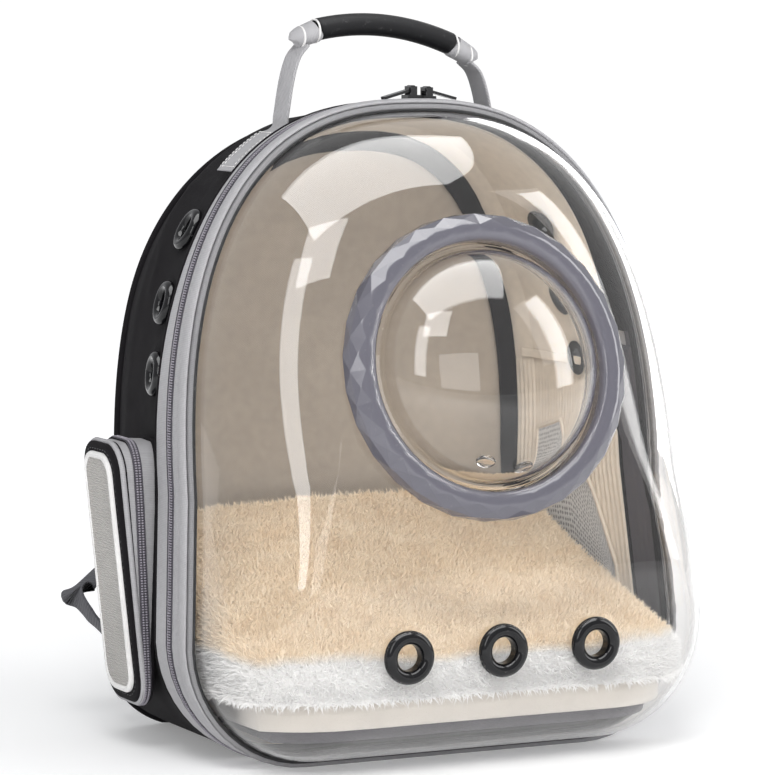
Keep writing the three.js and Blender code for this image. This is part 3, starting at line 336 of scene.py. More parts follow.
def flat_map(obj, across, up):
    """Lays the cloth's map flat over a piece, by two of its axes"""
    mesh = obj.data
    corners = np.empty(len(mesh.loops), int)
    mesh.loops.foreach_get("vertex_index", corners)
    verts = np.empty(3 * len(mesh.vertices))
    mesh.vertices.foreach_get("co", verts)
    mesh.uv_layers["cloth"].data.foreach_set("uv", verts.reshape(-1, 3)[corners][:, [across, up]].ravel())
    return obj


def merge(mesh):
    """Joins points that lie together and drops what has no area"""
    bm = bmesh.new()
    bm.from_mesh(mesh)
    bmesh.ops.remove_doubles(bm, verts=bm.verts, dist=1e-6)
    bmesh.ops.dissolve_degenerate(bm, edges=bm.edges, dist=1e-7)
    bm.to_mesh(mesh)
    bm.free()


def frames_along(path, axis):
    """Directions across and out at each place of a path, across lying as near as it can to an axis"""
    along = np.gradient(path, axis=0)
    along /= np.linalg.norm(along, axis=1)[:, None]
    axis = np.broadcast_to(np.asarray(axis, float), path.shape)
    across = axis - along * (axis * along).sum(1)[:, None]
    across /= np.linalg.norm(across, axis=1)[:, None]
    return across, np.cross(along, across)


def carry(path, section, across, out, wide=None, high=None):
    """Rows of a section set at each place of a path, scaled across and out if asked"""
    wide = np.ones(len(path)) if wide is None else np.asarray(wide, float)
    high = np.ones(len(path)) if high is None else np.asarray(high, float)
    rows = path[:, None] + section[None, :, :1] * across[:, None] * wide[:, None, None]
    return rows + section[None, :, 1:] * out[:, None] * high[:, None, None]


def sweep(name, path, section, axis, material, crease=40):
    """A section of places across and out, carried along a path"""
    path = np.asarray(path, float)
    across, out = frames_along(path, axis)
    rows = carry(path, np.asarray(section, float), across, out)
    return skin(name, rows, material, crease=crease)


def strip(width, thickness, rounding=0.45, steps=5):
    """Section of a flat band with soft edges"""
    r = min(rounding, 0.499) * thickness
    points = []
    for sx, sy, start in ((1, -1, -90), (1, 1, 0), (-1, 1, 90), (-1, -1, 180)):
        x, y = sx * (width / 2 - r), sy * (thickness / 2 - r)
        for k in range(steps):
            turn = math.radians(start + 90 * k / (steps - 1))
            points.append((x + r * math.cos(turn), y + r * math.sin(turn)))
    return points


def rounded(radius, sides=12, flat=1.0):
    turns = np.arange(sides) * 2 * math.pi / sides
    return np.stack([radius * np.cos(turns), flat * radius * np.sin(turns)], 1)


def loop_tube(name, points, radius, material, axis=(0, 1, 0), sides=8, flat=1.0):
    """A round cord along a closed run of places"""
    p = np.asarray(points, float)
    along = np.roll(p, -1, 0) - np.roll(p, 1, 0)
    along /= np.linalg.norm(along, axis=1)[:, None]
    across = np.asarray(axis, float) - along * (along @ np.asarray(axis, float))[:, None]
    across /= np.linalg.norm(across, axis=1)[:, None]
    rows = carry(p, rounded(radius, sides, flat), across, np.cross(along, across))
    return skin(name, rows, material, ring=True, crease=None)


def spun(name, profile, seat, material, around=96, crease=40):
    """A profile of radius and height turned about a seat's axis"""
    turns = np.arange(around) * 2 * math.pi / around
    r, h = np.asarray(profile, float).T
    heights = np.broadcast_to(h, (around, len(r)))
    local = np.stack([r[None] * np.cos(turns)[:, None], heights, r[None] * np.sin(turns)[:, None]], -1)
    rows = seated(local.reshape(-1, 3), seat).reshape(around, len(r), 3)
    return skin(name, rows, material, ring=True, crease=crease)


def seated(points, seat):
    """Places in a seat's own frame, whose +Y looks in its direction"""
    middle, direction = seat
    turn = Vector((0, 1, 0)).rotation_difference(Vector(direction)).to_matrix()
    return np.asarray(points, float) @ np.array(turn).T + np.asarray(middle, float)


def arc(centre, radius, start, end, steps, flat=1.0):
    turns = np.radians(np.linspace(start, end, steps))
    return [(centre[0] + radius * math.cos(t), centre[1] + flat * radius * math.sin(t)) for t in turns]


def dress(obj, body="carrier", nodes=()):
    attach(obj, body)
    if nodes:
        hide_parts(*nodes)
    return obj


def window_seat():
    normal = (0, -math.cos(SHELL_TILT), math.sin(SHELL_TILT))
    return (0, float(front_y(WINDOW_HEIGHT)), WINDOW_HEIGHT), normal


# Materials


class Graph:
    """A node tree under construction"""

    def __init__(self, tree):
        self.tree = tree

    def add(self, kind, inputs=None, **settings):
        node = self.tree.nodes.new(kind)
        for key, value in settings.items():
            setattr(node, key, value)
        for key, value in (inputs or {}).items():
            if isinstance(value, bpy.types.NodeSocket):
                self.tree.links.new(value, node.inputs[key])
            else:
                node.inputs[key].default_value = value
        return node

    def math(self, operation, a, b=0.0, c=0.0):
        return self.add("ShaderNodeMath", {0: a, 1: b, 2: c}, operation=operation).outputs[0]

    def mix(self, factor, a, b):
        node = self.add("ShaderNodeMix", data_type="RGBA")
        for key, value in ((0, factor), (6, a), (7, b)):
            if isinstance(value, bpy.types.NodeSocket):
                self.tree.links.new(value, node.inputs[key])
            else:
                node.inputs[key].default_value = value
        return node.outputs[2]

    def noise(self, vector, scale, detail=2.0, rough=0.5):
        inputs = {"Vector": vector, "Scale": scale, "Detail": detail, "Roughness": rough}
        return self.add("ShaderNodeTexNoise", inputs).outputs[0]

    def range(self, value, low, high, to_low, to_high):
        return self.add("ShaderNodeMapRange", {0: value, 1: low, 2: high, 3: to_low, 4: to_high}).outputs[0]


def shade(colour, by):
    return tuple(min(1, c * by) for c in colour[:3]) + (1,)


def effect(name, inputs, outputs):
    """An empty shader node group that takes a vector and named numbers"""
    tree = bpy.data.node_groups.new(name, "ShaderNodeTree")
    tree.interface.new_socket("Vector", in_out="INPUT", socket_type="NodeSocketVector")
    for socket, value in inputs.items():
        made = tree.interface.new_socket(socket, in_out="INPUT", socket_type="NodeSocketFloat")
        made.default_value = value
    for socket in outputs:
        tree.interface.new_socket(socket, in_out="OUTPUT", socket_type="NodeSocketFloat")
    graph = Graph(tree)
    return tree, graph, graph.add("NodeGroupInput").outputs, graph.add("NodeGroupOutput").inputs


def make_weave():
    """Threads over and under, from the cloth's own map in metres"""
    tree, g, given, out = effect("woven threads", {"Threads": 1600.0, "Slant": 0.0}, ("Height", "Shade"))
    parts = g.add("ShaderNodeSeparateXYZ", {0: given["Vector"]}).outputs
    slanted = g.math("MULTIPLY_ADD", parts[1], given["Slant"], parts[0])
    waves = []
    for part in (slanted, parts[1]):
        turn = g.math("MULTIPLY", part, g.math("MULTIPLY", given["Threads"], math.pi))
        waves.append(g.math("SINE", turn))
    height = g.math("MULTIPLY_ADD", g.math("MULTIPLY", *waves), 0.5, 0.5)
    worn = g.math("MULTIPLY_ADD", g.noise(given["Vector"], 140.0, 3.0), 0.35, 0.53)
    tree.links.new(height, out["Height"])
    tree.links.new(g.math("MULTIPLY_ADD", height, 0.3, worn), out["Shade"])
    return tree


def make_ribs():
    """Fine cords across a tape or webbing"""
    tree, g, given, out = effect("ribbed threads", {"Ribs": 700.0, "Slant": 0.0}, ("Height", "Shade"))
    parts = g.add("ShaderNodeSeparateXYZ", {0: given["Vector"]}).outputs
    run = g.math("MULTIPLY_ADD", parts[0], given["Slant"], parts[1])
    wave = g.math("SINE", g.math("MULTIPLY", run, g.math("MULTIPLY", given["Ribs"], 2 * math.pi)))
    height = g.math("MULTIPLY_ADD", wave, 0.5, 0.5)
    tree.links.new(height, out["Height"])
    fuzz = g.math("MULTIPLY_ADD", g.noise(given["Vector"], 300.0, 2.0), 0.3, 0.6)
    tree.links.new(g.math("MULTIPLY_ADD", height, 0.2, fuzz), out["Shade"])
    return tree


def make_handling():
    """Faint smears and dust that change how a hard surface shines"""
    tree, g, given, out = effect("handling marks", {"Base": 0.1, "Spread": 0.08}, ("Roughness", "Dust"))
    broad = g.noise(given["Vector"], 14.0, 4.0, 0.6)
    fine = g.noise(given["Vector"], 220.0, 3.0, 0.7)
    marks = g.math("MULTIPLY", g.range(broad, 0.35, 0.75, 0.0, 1.0), g.range(fine, 0.3, 0.8, 0.3, 1.0))
    tree.links.new(g.math("MULTIPLY_ADD", marks, given["Spread"], given["Base"]), out["Roughness"])
    tree.links.new(g.range(fine, 0.62, 0.8, 0.0, 1.0), out["Dust"])
    return tree


EFFECTS = {}
DUST = (0.6, 0.6, 0.6, 1)
GLOSS_BLACK = (0.005, 0.005, 0.006)
PANEL_GREY = (0.42, 0.405, 0.385)
THREAD_WHITE = (0.7, 0.69, 0.68)
THREAD_DARK = (0.04, 0.04, 0.045)


def place_effect(graph, name, inputs):
    makers = {"weave": make_weave, "ribs": make_ribs, "handling": make_handling}
    if name not in EFFECTS:
        EFFECTS[name] = makers[name]()
    return graph.add("ShaderNodeGroup", inputs, node_tree=EFFECTS[name]).outputs


def new_material(name, colour, roughness=0.5, sockets=None):
    """A material with a Principled shader, its graph and the coordinates that its patterns use"""
    material = bpy.data.materials.new(name)
    material.use_nodes = True
    material.diffuse_color = tuple(colour[:3]) + (1,)
    graph = Graph(material.node_tree)
    shader = material.node_tree.nodes["Principled BSDF"]
    shader.inputs["Base Color"].default_value = tuple(colour[:3]) + (1,)
    shader.inputs["Roughness"].default_value = roughness
    for key, value in (sockets or {}).items():
        shader.inputs[key].default_value = value
    return material, graph, shader.inputs


def bump(graph, inputs, height, distance, strength=1.0):
    made = graph.add("ShaderNodeBump", {"Height": height, "Distance": distance, "Strength": strength})
    graph.tree.links.new(made.outputs[0], inputs["Normal"])


def woven(
    name,
    colour,
    threads,
    roughness=0.85,
    depth=0.0002,
    sheen=0.05,
    pattern="weave",
    slant=0.0,
    wear=0.12,
    shine=0.2,
):
    """Cloth or tape: threads from its own map, tone that drifts over the piece"""
    sockets = {"Sheen Weight": sheen, "Sheen Roughness": 0.5, "Specular IOR Level": shine}
    material, g, shader = new_material(name, colour, roughness, sockets)
    own = g.add("ShaderNodeUVMap", uv_map="cloth").outputs[0]
    where = g.add("ShaderNodeTexCoord").outputs["Object"]
    count = "Threads" if pattern == "weave" else "Ribs"
    threads_out = place_effect(g, pattern, {"Vector": own, count: threads, "Slant": slant})
    drift = g.range(g.noise(where, 22.0, 3.0), 0.3, 0.7, 1 - wear, 1 + wear)
    tone = g.math("MULTIPLY", threads_out["Shade"], drift)
    g.tree.links.new(g.mix(tone, shade(colour, 0.45), shade(colour, 1.25)), shader["Base Color"])
    g.tree.links.new(g.range(tone, 0.4, 1.1, roughness + 0.08, roughness - 0.06), shader["Roughness"])
    bump(g, shader, threads_out["Height"], depth)
    return material


def moulded(name, colour, roughness, spread=0.08, coat=0.0, grain=0.0, shine=0.5):
    """Moulded plastic or lacquered metal: handling marks in its shine, a fine grain if it has one"""
    sockets = {"Coat Weight": coat, "Coat Roughness": 0.05, "Specular IOR Level": shine}
    material, g, shader = new_material(name, colour, roughness, sockets)
    where = g.add("ShaderNodeTexCoord").outputs["Object"]
    marks = place_effect(g, "handling", {"Vector": where, "Base": roughness, "Spread": spread})
    g.tree.links.new(marks["Roughness"], shader["Roughness"])
    dusty = g.mix(g.math("MULTIPLY", marks["Dust"], 0.08), shade(colour, 1), DUST)
    g.tree.links.new(dusty, shader["Base Color"])
    bump(g, shader, g.noise(where, 1400.0 if grain else 60.0, 2.0), grain or 0.00004)
    return material


def clear_plastic(name, tint, ripple):
    """Clear moulded plastic that lets soft light through"""
    material, g, shader = new_material(name, tint, 0.02, {"Transmission Weight": 1.0, "IOR": 1.46})
    where = g.add("ShaderNodeTexCoord").outputs["Object"]
    marks = place_effect(g, "handling", {"Vector": where, "Base": 0.012, "Spread": 0.03})
    g.tree.links.new(marks["Roughness"], shader["Roughness"])
    bump(g, shader, g.noise(where, 9.0, 1.0), ripple)
    nodes = material.node_tree.nodes
    path = g.add("ShaderNodeLightPath").outputs
    soft = g.math("MAXIMUM", path["Is Shadow Ray"], path["Is Diffuse Ray"])
    through = g.add("ShaderNodeBsdfTransparent", {0: (1, 1, 1, 1)}).outputs[0]
    made = g.add("ShaderNodeMixShader", {0: soft, 1: nodes["Principled BSDF"].outputs[0], 2: through})
    g.tree.links.new(made.outputs[0], nodes["Material Output"].inputs[0])
    return material


def dotted_mesh(name, colour, dark, pitch, hole):
    """Knitted mesh with small round holes in staggered rows"""
    material, g, shader = new_material(name, colour, 0.8, {"Sheen Weight": 0.05, "Specular IOR Level": 0.2})
    own = g.add("ShaderNodeUVMap", uv_map="cloth").outputs[0]
    inputs = {"Vector": own, "Scale": 1 / pitch, "Randomness": 0.25}
    cell = g.add("ShaderNodeTexVoronoi", inputs, voronoi_dimensions="2D").outputs["Distance"]
    open_part = g.range(cell, hole - 0.08, hole + 0.08, 1.0, 0.0)
    g.tree.links.new(g.mix(open_part, shade(colour, 1), shade(dark, 1)), shader["Base Color"])
    bump(g, shader, cell, 0.0005)
    return material


def plush(name, colour, tip, pile_scale, white=None, boundary=0.0):
    """Pile: clumps that vary between its colour and the lighter colour of its tips, with a white edge below a
    height where it has one
    """
    material, g, shader = new_material(name, colour, 0.95, {"Sheen Weight": 0.5, "Sheen Roughness": 0.6})
    where = g.add("ShaderNodeTexCoord").outputs["Object"]
    clump = g.noise(where, 38.0, 4.0, 0.65)
    fine = g.noise(where, pile_scale, 3.0, 0.7)
    tone = g.math("MULTIPLY_ADD", clump, 0.55, g.math("MULTIPLY", fine, 0.5))
    colours = g.mix(g.range(tone, 0.3, 0.7, 0.0, 1.0), shade(colour, 0.96), tip)
    if white:
        height = g.add("ShaderNodeSeparateXYZ", {0: where}).outputs[2]
        waved = g.math("MULTIPLY_ADD", g.noise(where, 16.0, 3.0), -0.014, height)
        edge = g.range(waved, boundary - 0.0045, boundary + 0.0015, 1.0, 0.0)
        colours = g.mix(edge, colours, g.mix(tone, shade(white, 0.82), shade(white, 1.06)))
    g.tree.links.new(colours, shader["Base Color"])
    bump(g, shader, tone, 0.0012, 0.7)
    return material


MATERIALS = {}


def material_of(name):
    """Materials are made once, from the colours of the panel"""
    if name in MATERIALS:
        return MATERIALS[name]
    c = look()
    makers = {
        "clear shell": lambda: clear_plastic("clear_shell", c.clear_tint, 0.0004),
        "clear window": lambda: clear_plastic("clear_window", c.clear_tint, 0.0001),
        "ring": lambda: moulded("ring_plastic", c.ring_colour, 0.16, 0.06, coat=0.5),
        "gloss black": lambda: moulded("gloss_black_plastic", GLOSS_BLACK, 0.12, 0.1, 0.1, shine=0.35),
        "grip": lambda: moulded("grip_rubber", (0.009, 0.009, 0.01), 0.55, 0.12, grain=0.00015, shine=0.2),
        "lacquer": lambda: moulded("black_lacquer", (0.012, 0.012, 0.013), 0.22, 0.12, coat=0.4),
        "teeth": lambda: moulded("zip_coil", c.teeth_colour, 0.22, 0.1),
        "bead": lambda: moulded("black_bead", (0.01, 0.01, 0.011), 0.35, 0.1),
        "body": lambda: woven("body_cloth", c.body_colour, 1500, 0.78, 0.00015, 0.01, shine=0.08),
        "binding": lambda: woven(
            "black_binding", c.body_colour, 1100, 0.8, 0.0002, 0.01, "ribs", 0.3, shine=0.08
        ),
        "tape": lambda: woven("grey_tape", c.tape_colour, 900, 0.75, 0.0001, 0.03, "ribs", 0.0, 0.06),
        "steel tape": lambda: woven("steel_tape", shade(c.tape_colour, 0.6), 900, 0.55, 0.0001, 0.05, "ribs"),
        "dark tape": lambda: woven("dark_tape", c.dark_tape_colour, 900, 0.85, 0.0002, 0.05),
        "twill": lambda: woven("handle_twill", c.tape_colour, 420, 0.75, 0.0003, 0.06, "ribs", 1.0, 0.08),
        "webbing": lambda: woven("strap_webbing", c.webbing_colour, 430, 0.8, 0.0004, 0.05, "ribs", 0.0),
        "beige": lambda: woven("side_lining_cloth", c.side_colour, 1700, 0.85, 0.0001, 0.05),
        # The back lining is the side lining's beige darkened to about half: painted shade on the back wall.
        "beige_in_painted_shade": lambda: woven("back_lining_cloth_painted_shade", c.back_shaded_colour, 1700, 0.85, 0.0001, 0.05),
        "thread": lambda: woven("thread", THREAD_WHITE, 2500, 0.7, 0.00005, 0.2, "ribs"),
        "dark thread": lambda: woven("dark_thread", THREAD_DARK, 2500, 0.7, 0.00005, 0.2, "ribs"),
        "mesh": lambda: dotted_mesh("dotted_mesh", (0.72, 0.72, 0.72), (0.28, 0.28, 0.29), 0.0031, 0.3),
        "panel": lambda: woven("pocket_mesh", PANEL_GREY, 620, 0.8, 0.0005, 0.05, "ribs", 0.0, 0.08),
        "air mesh": lambda: dotted_mesh("air_mesh", (0.03, 0.03, 0.032), (0.006, 0.006, 0.006), 0.0035, 0.3),
        "pile": lambda: plush("tan_pile", c.plush_colour, c.plush_tip, 520.0, c.edge_colour, 0.0705),
        "terry": lambda: plush("cream_terry", c.terry_colour, shade(c.terry_colour, 1.12), 900.0),
    }
    MATERIALS[name] = makers[name]()
    return MATERIALS[name]


# Repeats made with Geometry Nodes


def tree_of(name, inputs):
    tree = bpy.data.node_groups.new(name, "GeometryNodeTree")
    tree.interface.new_socket("Geometry", in_out="INPUT", socket_type="NodeSocketGeometry")
    for socket, kind, value in inputs:
        made = tree.interface.new_socket(socket, in_out="INPUT", socket_type=kind)
        if value is not None:
            made.default_value = value
    tree.interface.new_socket("Geometry", in_out="OUTPUT", socket_type="NodeSocketGeometry")
    return tree, Graph(tree)


def set_copies(g, shape, places):
    """Copies of a shape at places, as plain geometry"""
    small = g.add("GeometryNodeObjectInfo", {"Object": shape}, transform_space="ORIGINAL").outputs["Geometry"]
    copies = g.add("GeometryNodeInstanceOnPoints", {**places, "Instance": small}).outputs[0]
    return g.add("GeometryNodeRealizeInstances", {0: copies}).outputs[0]


def finish_tree(g, geometry, material):
    done = g.add("GeometryNodeSetMaterial", {"Geometry": geometry, "Material": material}).outputs[0]
    g.add("NodeGroupOutput", {0: done})


def path_tree():
    """Sets a small shape along a path at an even pitch, turned with the path and its outward direction"""
    inputs = [
        ("Shape", "NodeSocketObject", None),
        ("Pitch", "NodeSocketFloat", 0.002),
        ("Material", "NodeSocketMaterial", None),
    ]
    tree, g = tree_of("repeat along a path", inputs)
    given = g.add("NodeGroupInput").outputs
    curve = g.add("GeometryNodeMeshToCurve", {0: given["Geometry"]}).outputs[0]
    spaced = {"Curve": curve, "Length": given["Pitch"]}
    run = g.add("GeometryNodeResampleCurve", spaced, mode="LENGTH").outputs[0]
    out = g.add("GeometryNodeInputNamedAttribute", {0: "out"}, data_type="FLOAT_VECTOR").outputs[0]
    along = g.add("GeometryNodeInputTangent").outputs[0]
    first = g.add("FunctionNodeAlignRotationToVector", {"Vector": along}, axis="X").outputs[0]
    turned = {"Rotation": first, "Vector": out}
    turn = g.add("FunctionNodeAlignRotationToVector", turned, axis="Z", pivot_axis="X").outputs[0]
    copies = set_copies(g, given["Shape"], {"Points": run, "Rotation": turn})
    finish_tree(g, copies, given["Material"])
    return tree


def tuft_tree():
    """Scatters tufts over the faces that look up or out, leaning at random about the normal"""
    inputs = [
        ("Shape", "NodeSocketObject", None),
        ("Density", "NodeSocketFloat", 1000.0),
        ("Lean", "NodeSocketFloat", 0.6),
        ("Lowest", "NodeSocketFloat", -0.6),
        ("Seed", "NodeSocketInt", 7),
        ("Material", "NodeSocketMaterial", None),
    ]
    tree, g = tree_of("tufts over a surface", inputs)
    given = g.add("NodeGroupInput").outputs
    rise = g.add("ShaderNodeSeparateXYZ", {0: g.add("GeometryNodeInputNormal").outputs[0]}).outputs[2]
    heights = {0: rise, 1: given["Lowest"]}
    chosen = g.add("FunctionNodeCompare", heights, data_type="FLOAT", operation="GREATER_THAN").outputs[0]
    where = {"Mesh": given["Geometry"], "Selection": chosen}
    where |= {"Density": given["Density"], "Seed": given["Seed"]}
    spread = g.add("GeometryNodeDistributePointsOnFaces", where)
    lean = g.add("FunctionNodeRandomValue", {"Seed": given["Seed"]}, data_type="FLOAT_VECTOR")
    lean.inputs[0].default_value = (-1, -1, -1)
    leaning = {0: lean.outputs[0], "Scale": given["Lean"]}
    reach = g.add("ShaderNodeVectorMath", leaning, operation="SCALE").outputs[0]
    summed = {0: spread.outputs["Normal"], 1: reach}
    towards = g.add("ShaderNodeVectorMath", summed, operation="ADD").outputs[0]
    turn = g.add("FunctionNodeAlignRotationToVector", {"Vector": towards}, axis="Z").outputs[0]
    size = g.add("FunctionNodeRandomValue", {"Seed": given["Seed"]}, data_type="FLOAT")
    size.inputs[2].default_value, size.inputs[3].default_value = 0.55, 1.25
    places = {"Points": spread.outputs[0], "Rotation": turn, "Scale": size.outputs[1]}
    copies = set_copies(g, given["Shape"], places)
    joined = g.add("GeometryNodeJoinGeometry").inputs[0]
    for part in (given["Geometry"], copies):
        tree.links.new(part, joined)
    finish_tree(g, joined.node.outputs[0], given["Material"])
    return tree


TREES = {}


def run_tree(obj, kind, values):
    """Runs a tree on an object and leaves its plain mesh under the same name"""
    if kind not in TREES:
        TREES[kind] = {"path": path_tree, "tufts": tuft_tree}[kind]()
    tree = TREES[kind]
    modifier = obj.modifiers.new(kind, "NODES")
    modifier.node_group = tree
    sockets = {s.name: s.identifier for s in tree.interface.items_tree if s.in_out == "INPUT"}
    for key, value in values.items():
        modifier[sockets[key]] = value
    bpy.context.view_layer.update()
    graph = bpy.context.evaluated_depsgraph_get()
    made = bpy.data.meshes.new_from_object(obj.evaluated_get(graph), depsgraph=graph)
    obj.modifiers.remove(modifier)
    obj.data = made
    return obj


def small_shape(name, points, faces):
    """A shape that a tree repeats"""
    mesh = bpy.data.meshes.new(name)
    mesh.from_pydata([tuple(c * MM for c in p) for p in points], [], faces)
    obj = bpy.data.objects.new(name, mesh)
    bpy.context.scene.collection.objects.link(obj)
    return obj


def bead_shape(name, length, width, height, sides=6):
    """A short rounded bar along X, as a stitch or a tooth of a coil is"""
    points, faces = [(-length / 2, 0, 0)], []
    for x, share in ((-0.32, 0.85), (0.32, 0.85)):
        for k in range(sides):
            turn = 2 * math.pi * k / sides
            y, z = share * width / 2 * math.cos(turn), share * height / 2 * math.sin(turn)
            points.append((x * length, y, z))
    points.append((length / 2, 0, 0))
    for k in range(sides):
        n = (k + 1) % sides
        near, near_next, far, far_next = 1 + k, 1 + n, 1 + sides + k, 1 + sides + n
        faces += [(0, near_next, near), (near, near_next, far_next, far), (far, far_next, 2 * sides + 1)]
    return small_shape(name, points, faces)


def repeat(name, paths, outs, shape, pitch, material):
    """Copies of a shape along paths of model places, open or closed, with the outward direction at each.
    The shape itself is taken away."""
    mesh = bpy.data.meshes.new(name)
    points, edges, directions = [], [], []
    for (path, closed), out in zip(paths, outs):
        start, count = len(points), len(path)
        points += place(path).tolist()
        directions += np.broadcast_to(np.asarray(out, float), (count, 3)).ravel().tolist()
        edges += [(start + k, start + (k + 1) % count) for k in range(count if closed else count - 1)]
    mesh.from_pydata(points, edges, [])
    mesh.attributes.new("out", "FLOAT_VECTOR", "POINT").data.foreach_set("vector", directions)
    obj = bpy.data.objects.new(name, mesh)
    bpy.context.scene.collection.objects.link(obj)
    run_tree(obj, "path", {"Shape": shape, "Pitch": pitch * MM, "Material": material})
    bpy.data.objects.remove(shape)
    obj.data.polygons.foreach_set("use_smooth", [True] * len(obj.data.polygons))
    return obj


# Sizes and colours that a user would change


def colour_property(name, default, description):
    return FloatVectorProperty(
        name=name, description=description, default=default, size=len(default), min=0, max=1, subtype="COLOR"
    )


def length_property(name, default, description):
    return FloatProperty(name=name, description=description, default=default, unit="LENGTH")


class CarrierLook(bpy.types.PropertyGroup):
    """Sizes and colours of the dressed carrier"""

    lens: FloatProperty(
        name="Lens", description="Focal length on a 36 mm sensor", default=192.34, subtype="DISTANCE_CAMERA"
    )
    tooth_pitch: length_property("Tooth pitch", 0.0017, "Between coils of the zip")
    stitch_pitch: length_property("Stitch pitch", 0.0042, "Between stitches")
    pile_length: length_property("Pile length", 0.0058, "Length of a tuft of plush")
    pile_density: FloatProperty(name="Pile density", description="Tufts on a square metre", default=850000.0)
    wrinkle_depth: length_property("Wrinkle depth", 0.0016, "Of the soft body")
    seed: IntProperty(name="Seed", description="Of everything that is scattered", default=7)
    clear_tint: colour_property("Clear plastic", (0.975, 0.965, 0.955), "Tint of the shell and the window")
    ring_colour: colour_property("Ring", (0.115, 0.111, 0.135), "Plastic of the faceted ring")
    teeth_colour: colour_property("Zip teeth", (0.3, 0.28, 0.32), "Coils of the zips")
    body_colour: colour_property("Body", (0.0085, 0.0075, 0.0088), "Black cloth of the body")
    tape_colour: colour_property("Tape", (0.35, 0.345, 0.355), "Light grey tape and piping")
    dark_tape_colour: colour_property("Dark tape", (0.07, 0.066, 0.078), "Dark grey cloth")
    webbing_colour: colour_property("Webbing", (0.1, 0.1, 0.11), "Webbing of the shoulder straps")
    side_colour: colour_property("Side lining", (0.68, 0.6, 0.5), "Beige cloth inside the walls")
    # Back lining: the side lining's beige at about half its brightness, a painted shade.
    back_shaded_colour: colour_property("Back lining", (0.37, 0.32, 0.265), "Taupe cloth inside the back")
    plush_colour: colour_property("Plush", (0.9, 0.71, 0.48), "Tan pile of the mat")
    plush_tip: colour_property("Plush tips", (1.0, 0.88, 0.7, 1), "Ends of the tan pile")
    edge_colour: colour_property("Plush edge", (0.95, 0.94, 0.93), "White pile round the edge of the mat")
    terry_colour: colour_property("Terry", (0.62, 0.575, 0.52), "Looped cloth under the mat")


# Stage


def camera_rays():
    """Where the camera stands and its directions, in model millimetres"""
    azimuth, rise = math.radians(-26.0604), math.radians(5.5184)
    back = np.array([math.sin(azimuth) * math.cos(rise), -math.cos(azimuth) * math.cos(rise), math.sin(rise)])
    right = np.array([math.cos(azimuth), math.sin(azimuth), 0.0])
    up = np.cross(back, right)
    distance, focal, centre, seen = 2656.53, 4140.7, 387.5, (444.632, 370.027)
    across, down = (seen[0] - centre) / focal * distance, (seen[1] - centre) / focal * distance
    return np.array([0, 0, 250.0]) + back * distance - right * across + up * down, right, up, back


def soft_box(name, middle, target, width, height, power, reflected=True):
    """A rectangular light that looks at a place: it is seen in shiny surfaces, or lights the cloth"""
    data = bpy.data.lights.new(name, "AREA")
    data.shape = "RECTANGLE"
    data.size, data.size_y = width, height
    data.energy = power
    obj = bpy.data.objects.new(name, data)
    aim = (Vector(target) - Vector(middle)).to_track_quat("-Z", "Y").to_matrix().to_4x4()
    obj.matrix_world = Matrix.Translation(middle) @ aim
    obj.visible_diffuse = not reflected
    obj.visible_glossy = reflected
    bpy.context.scene.collection.objects.link(obj)


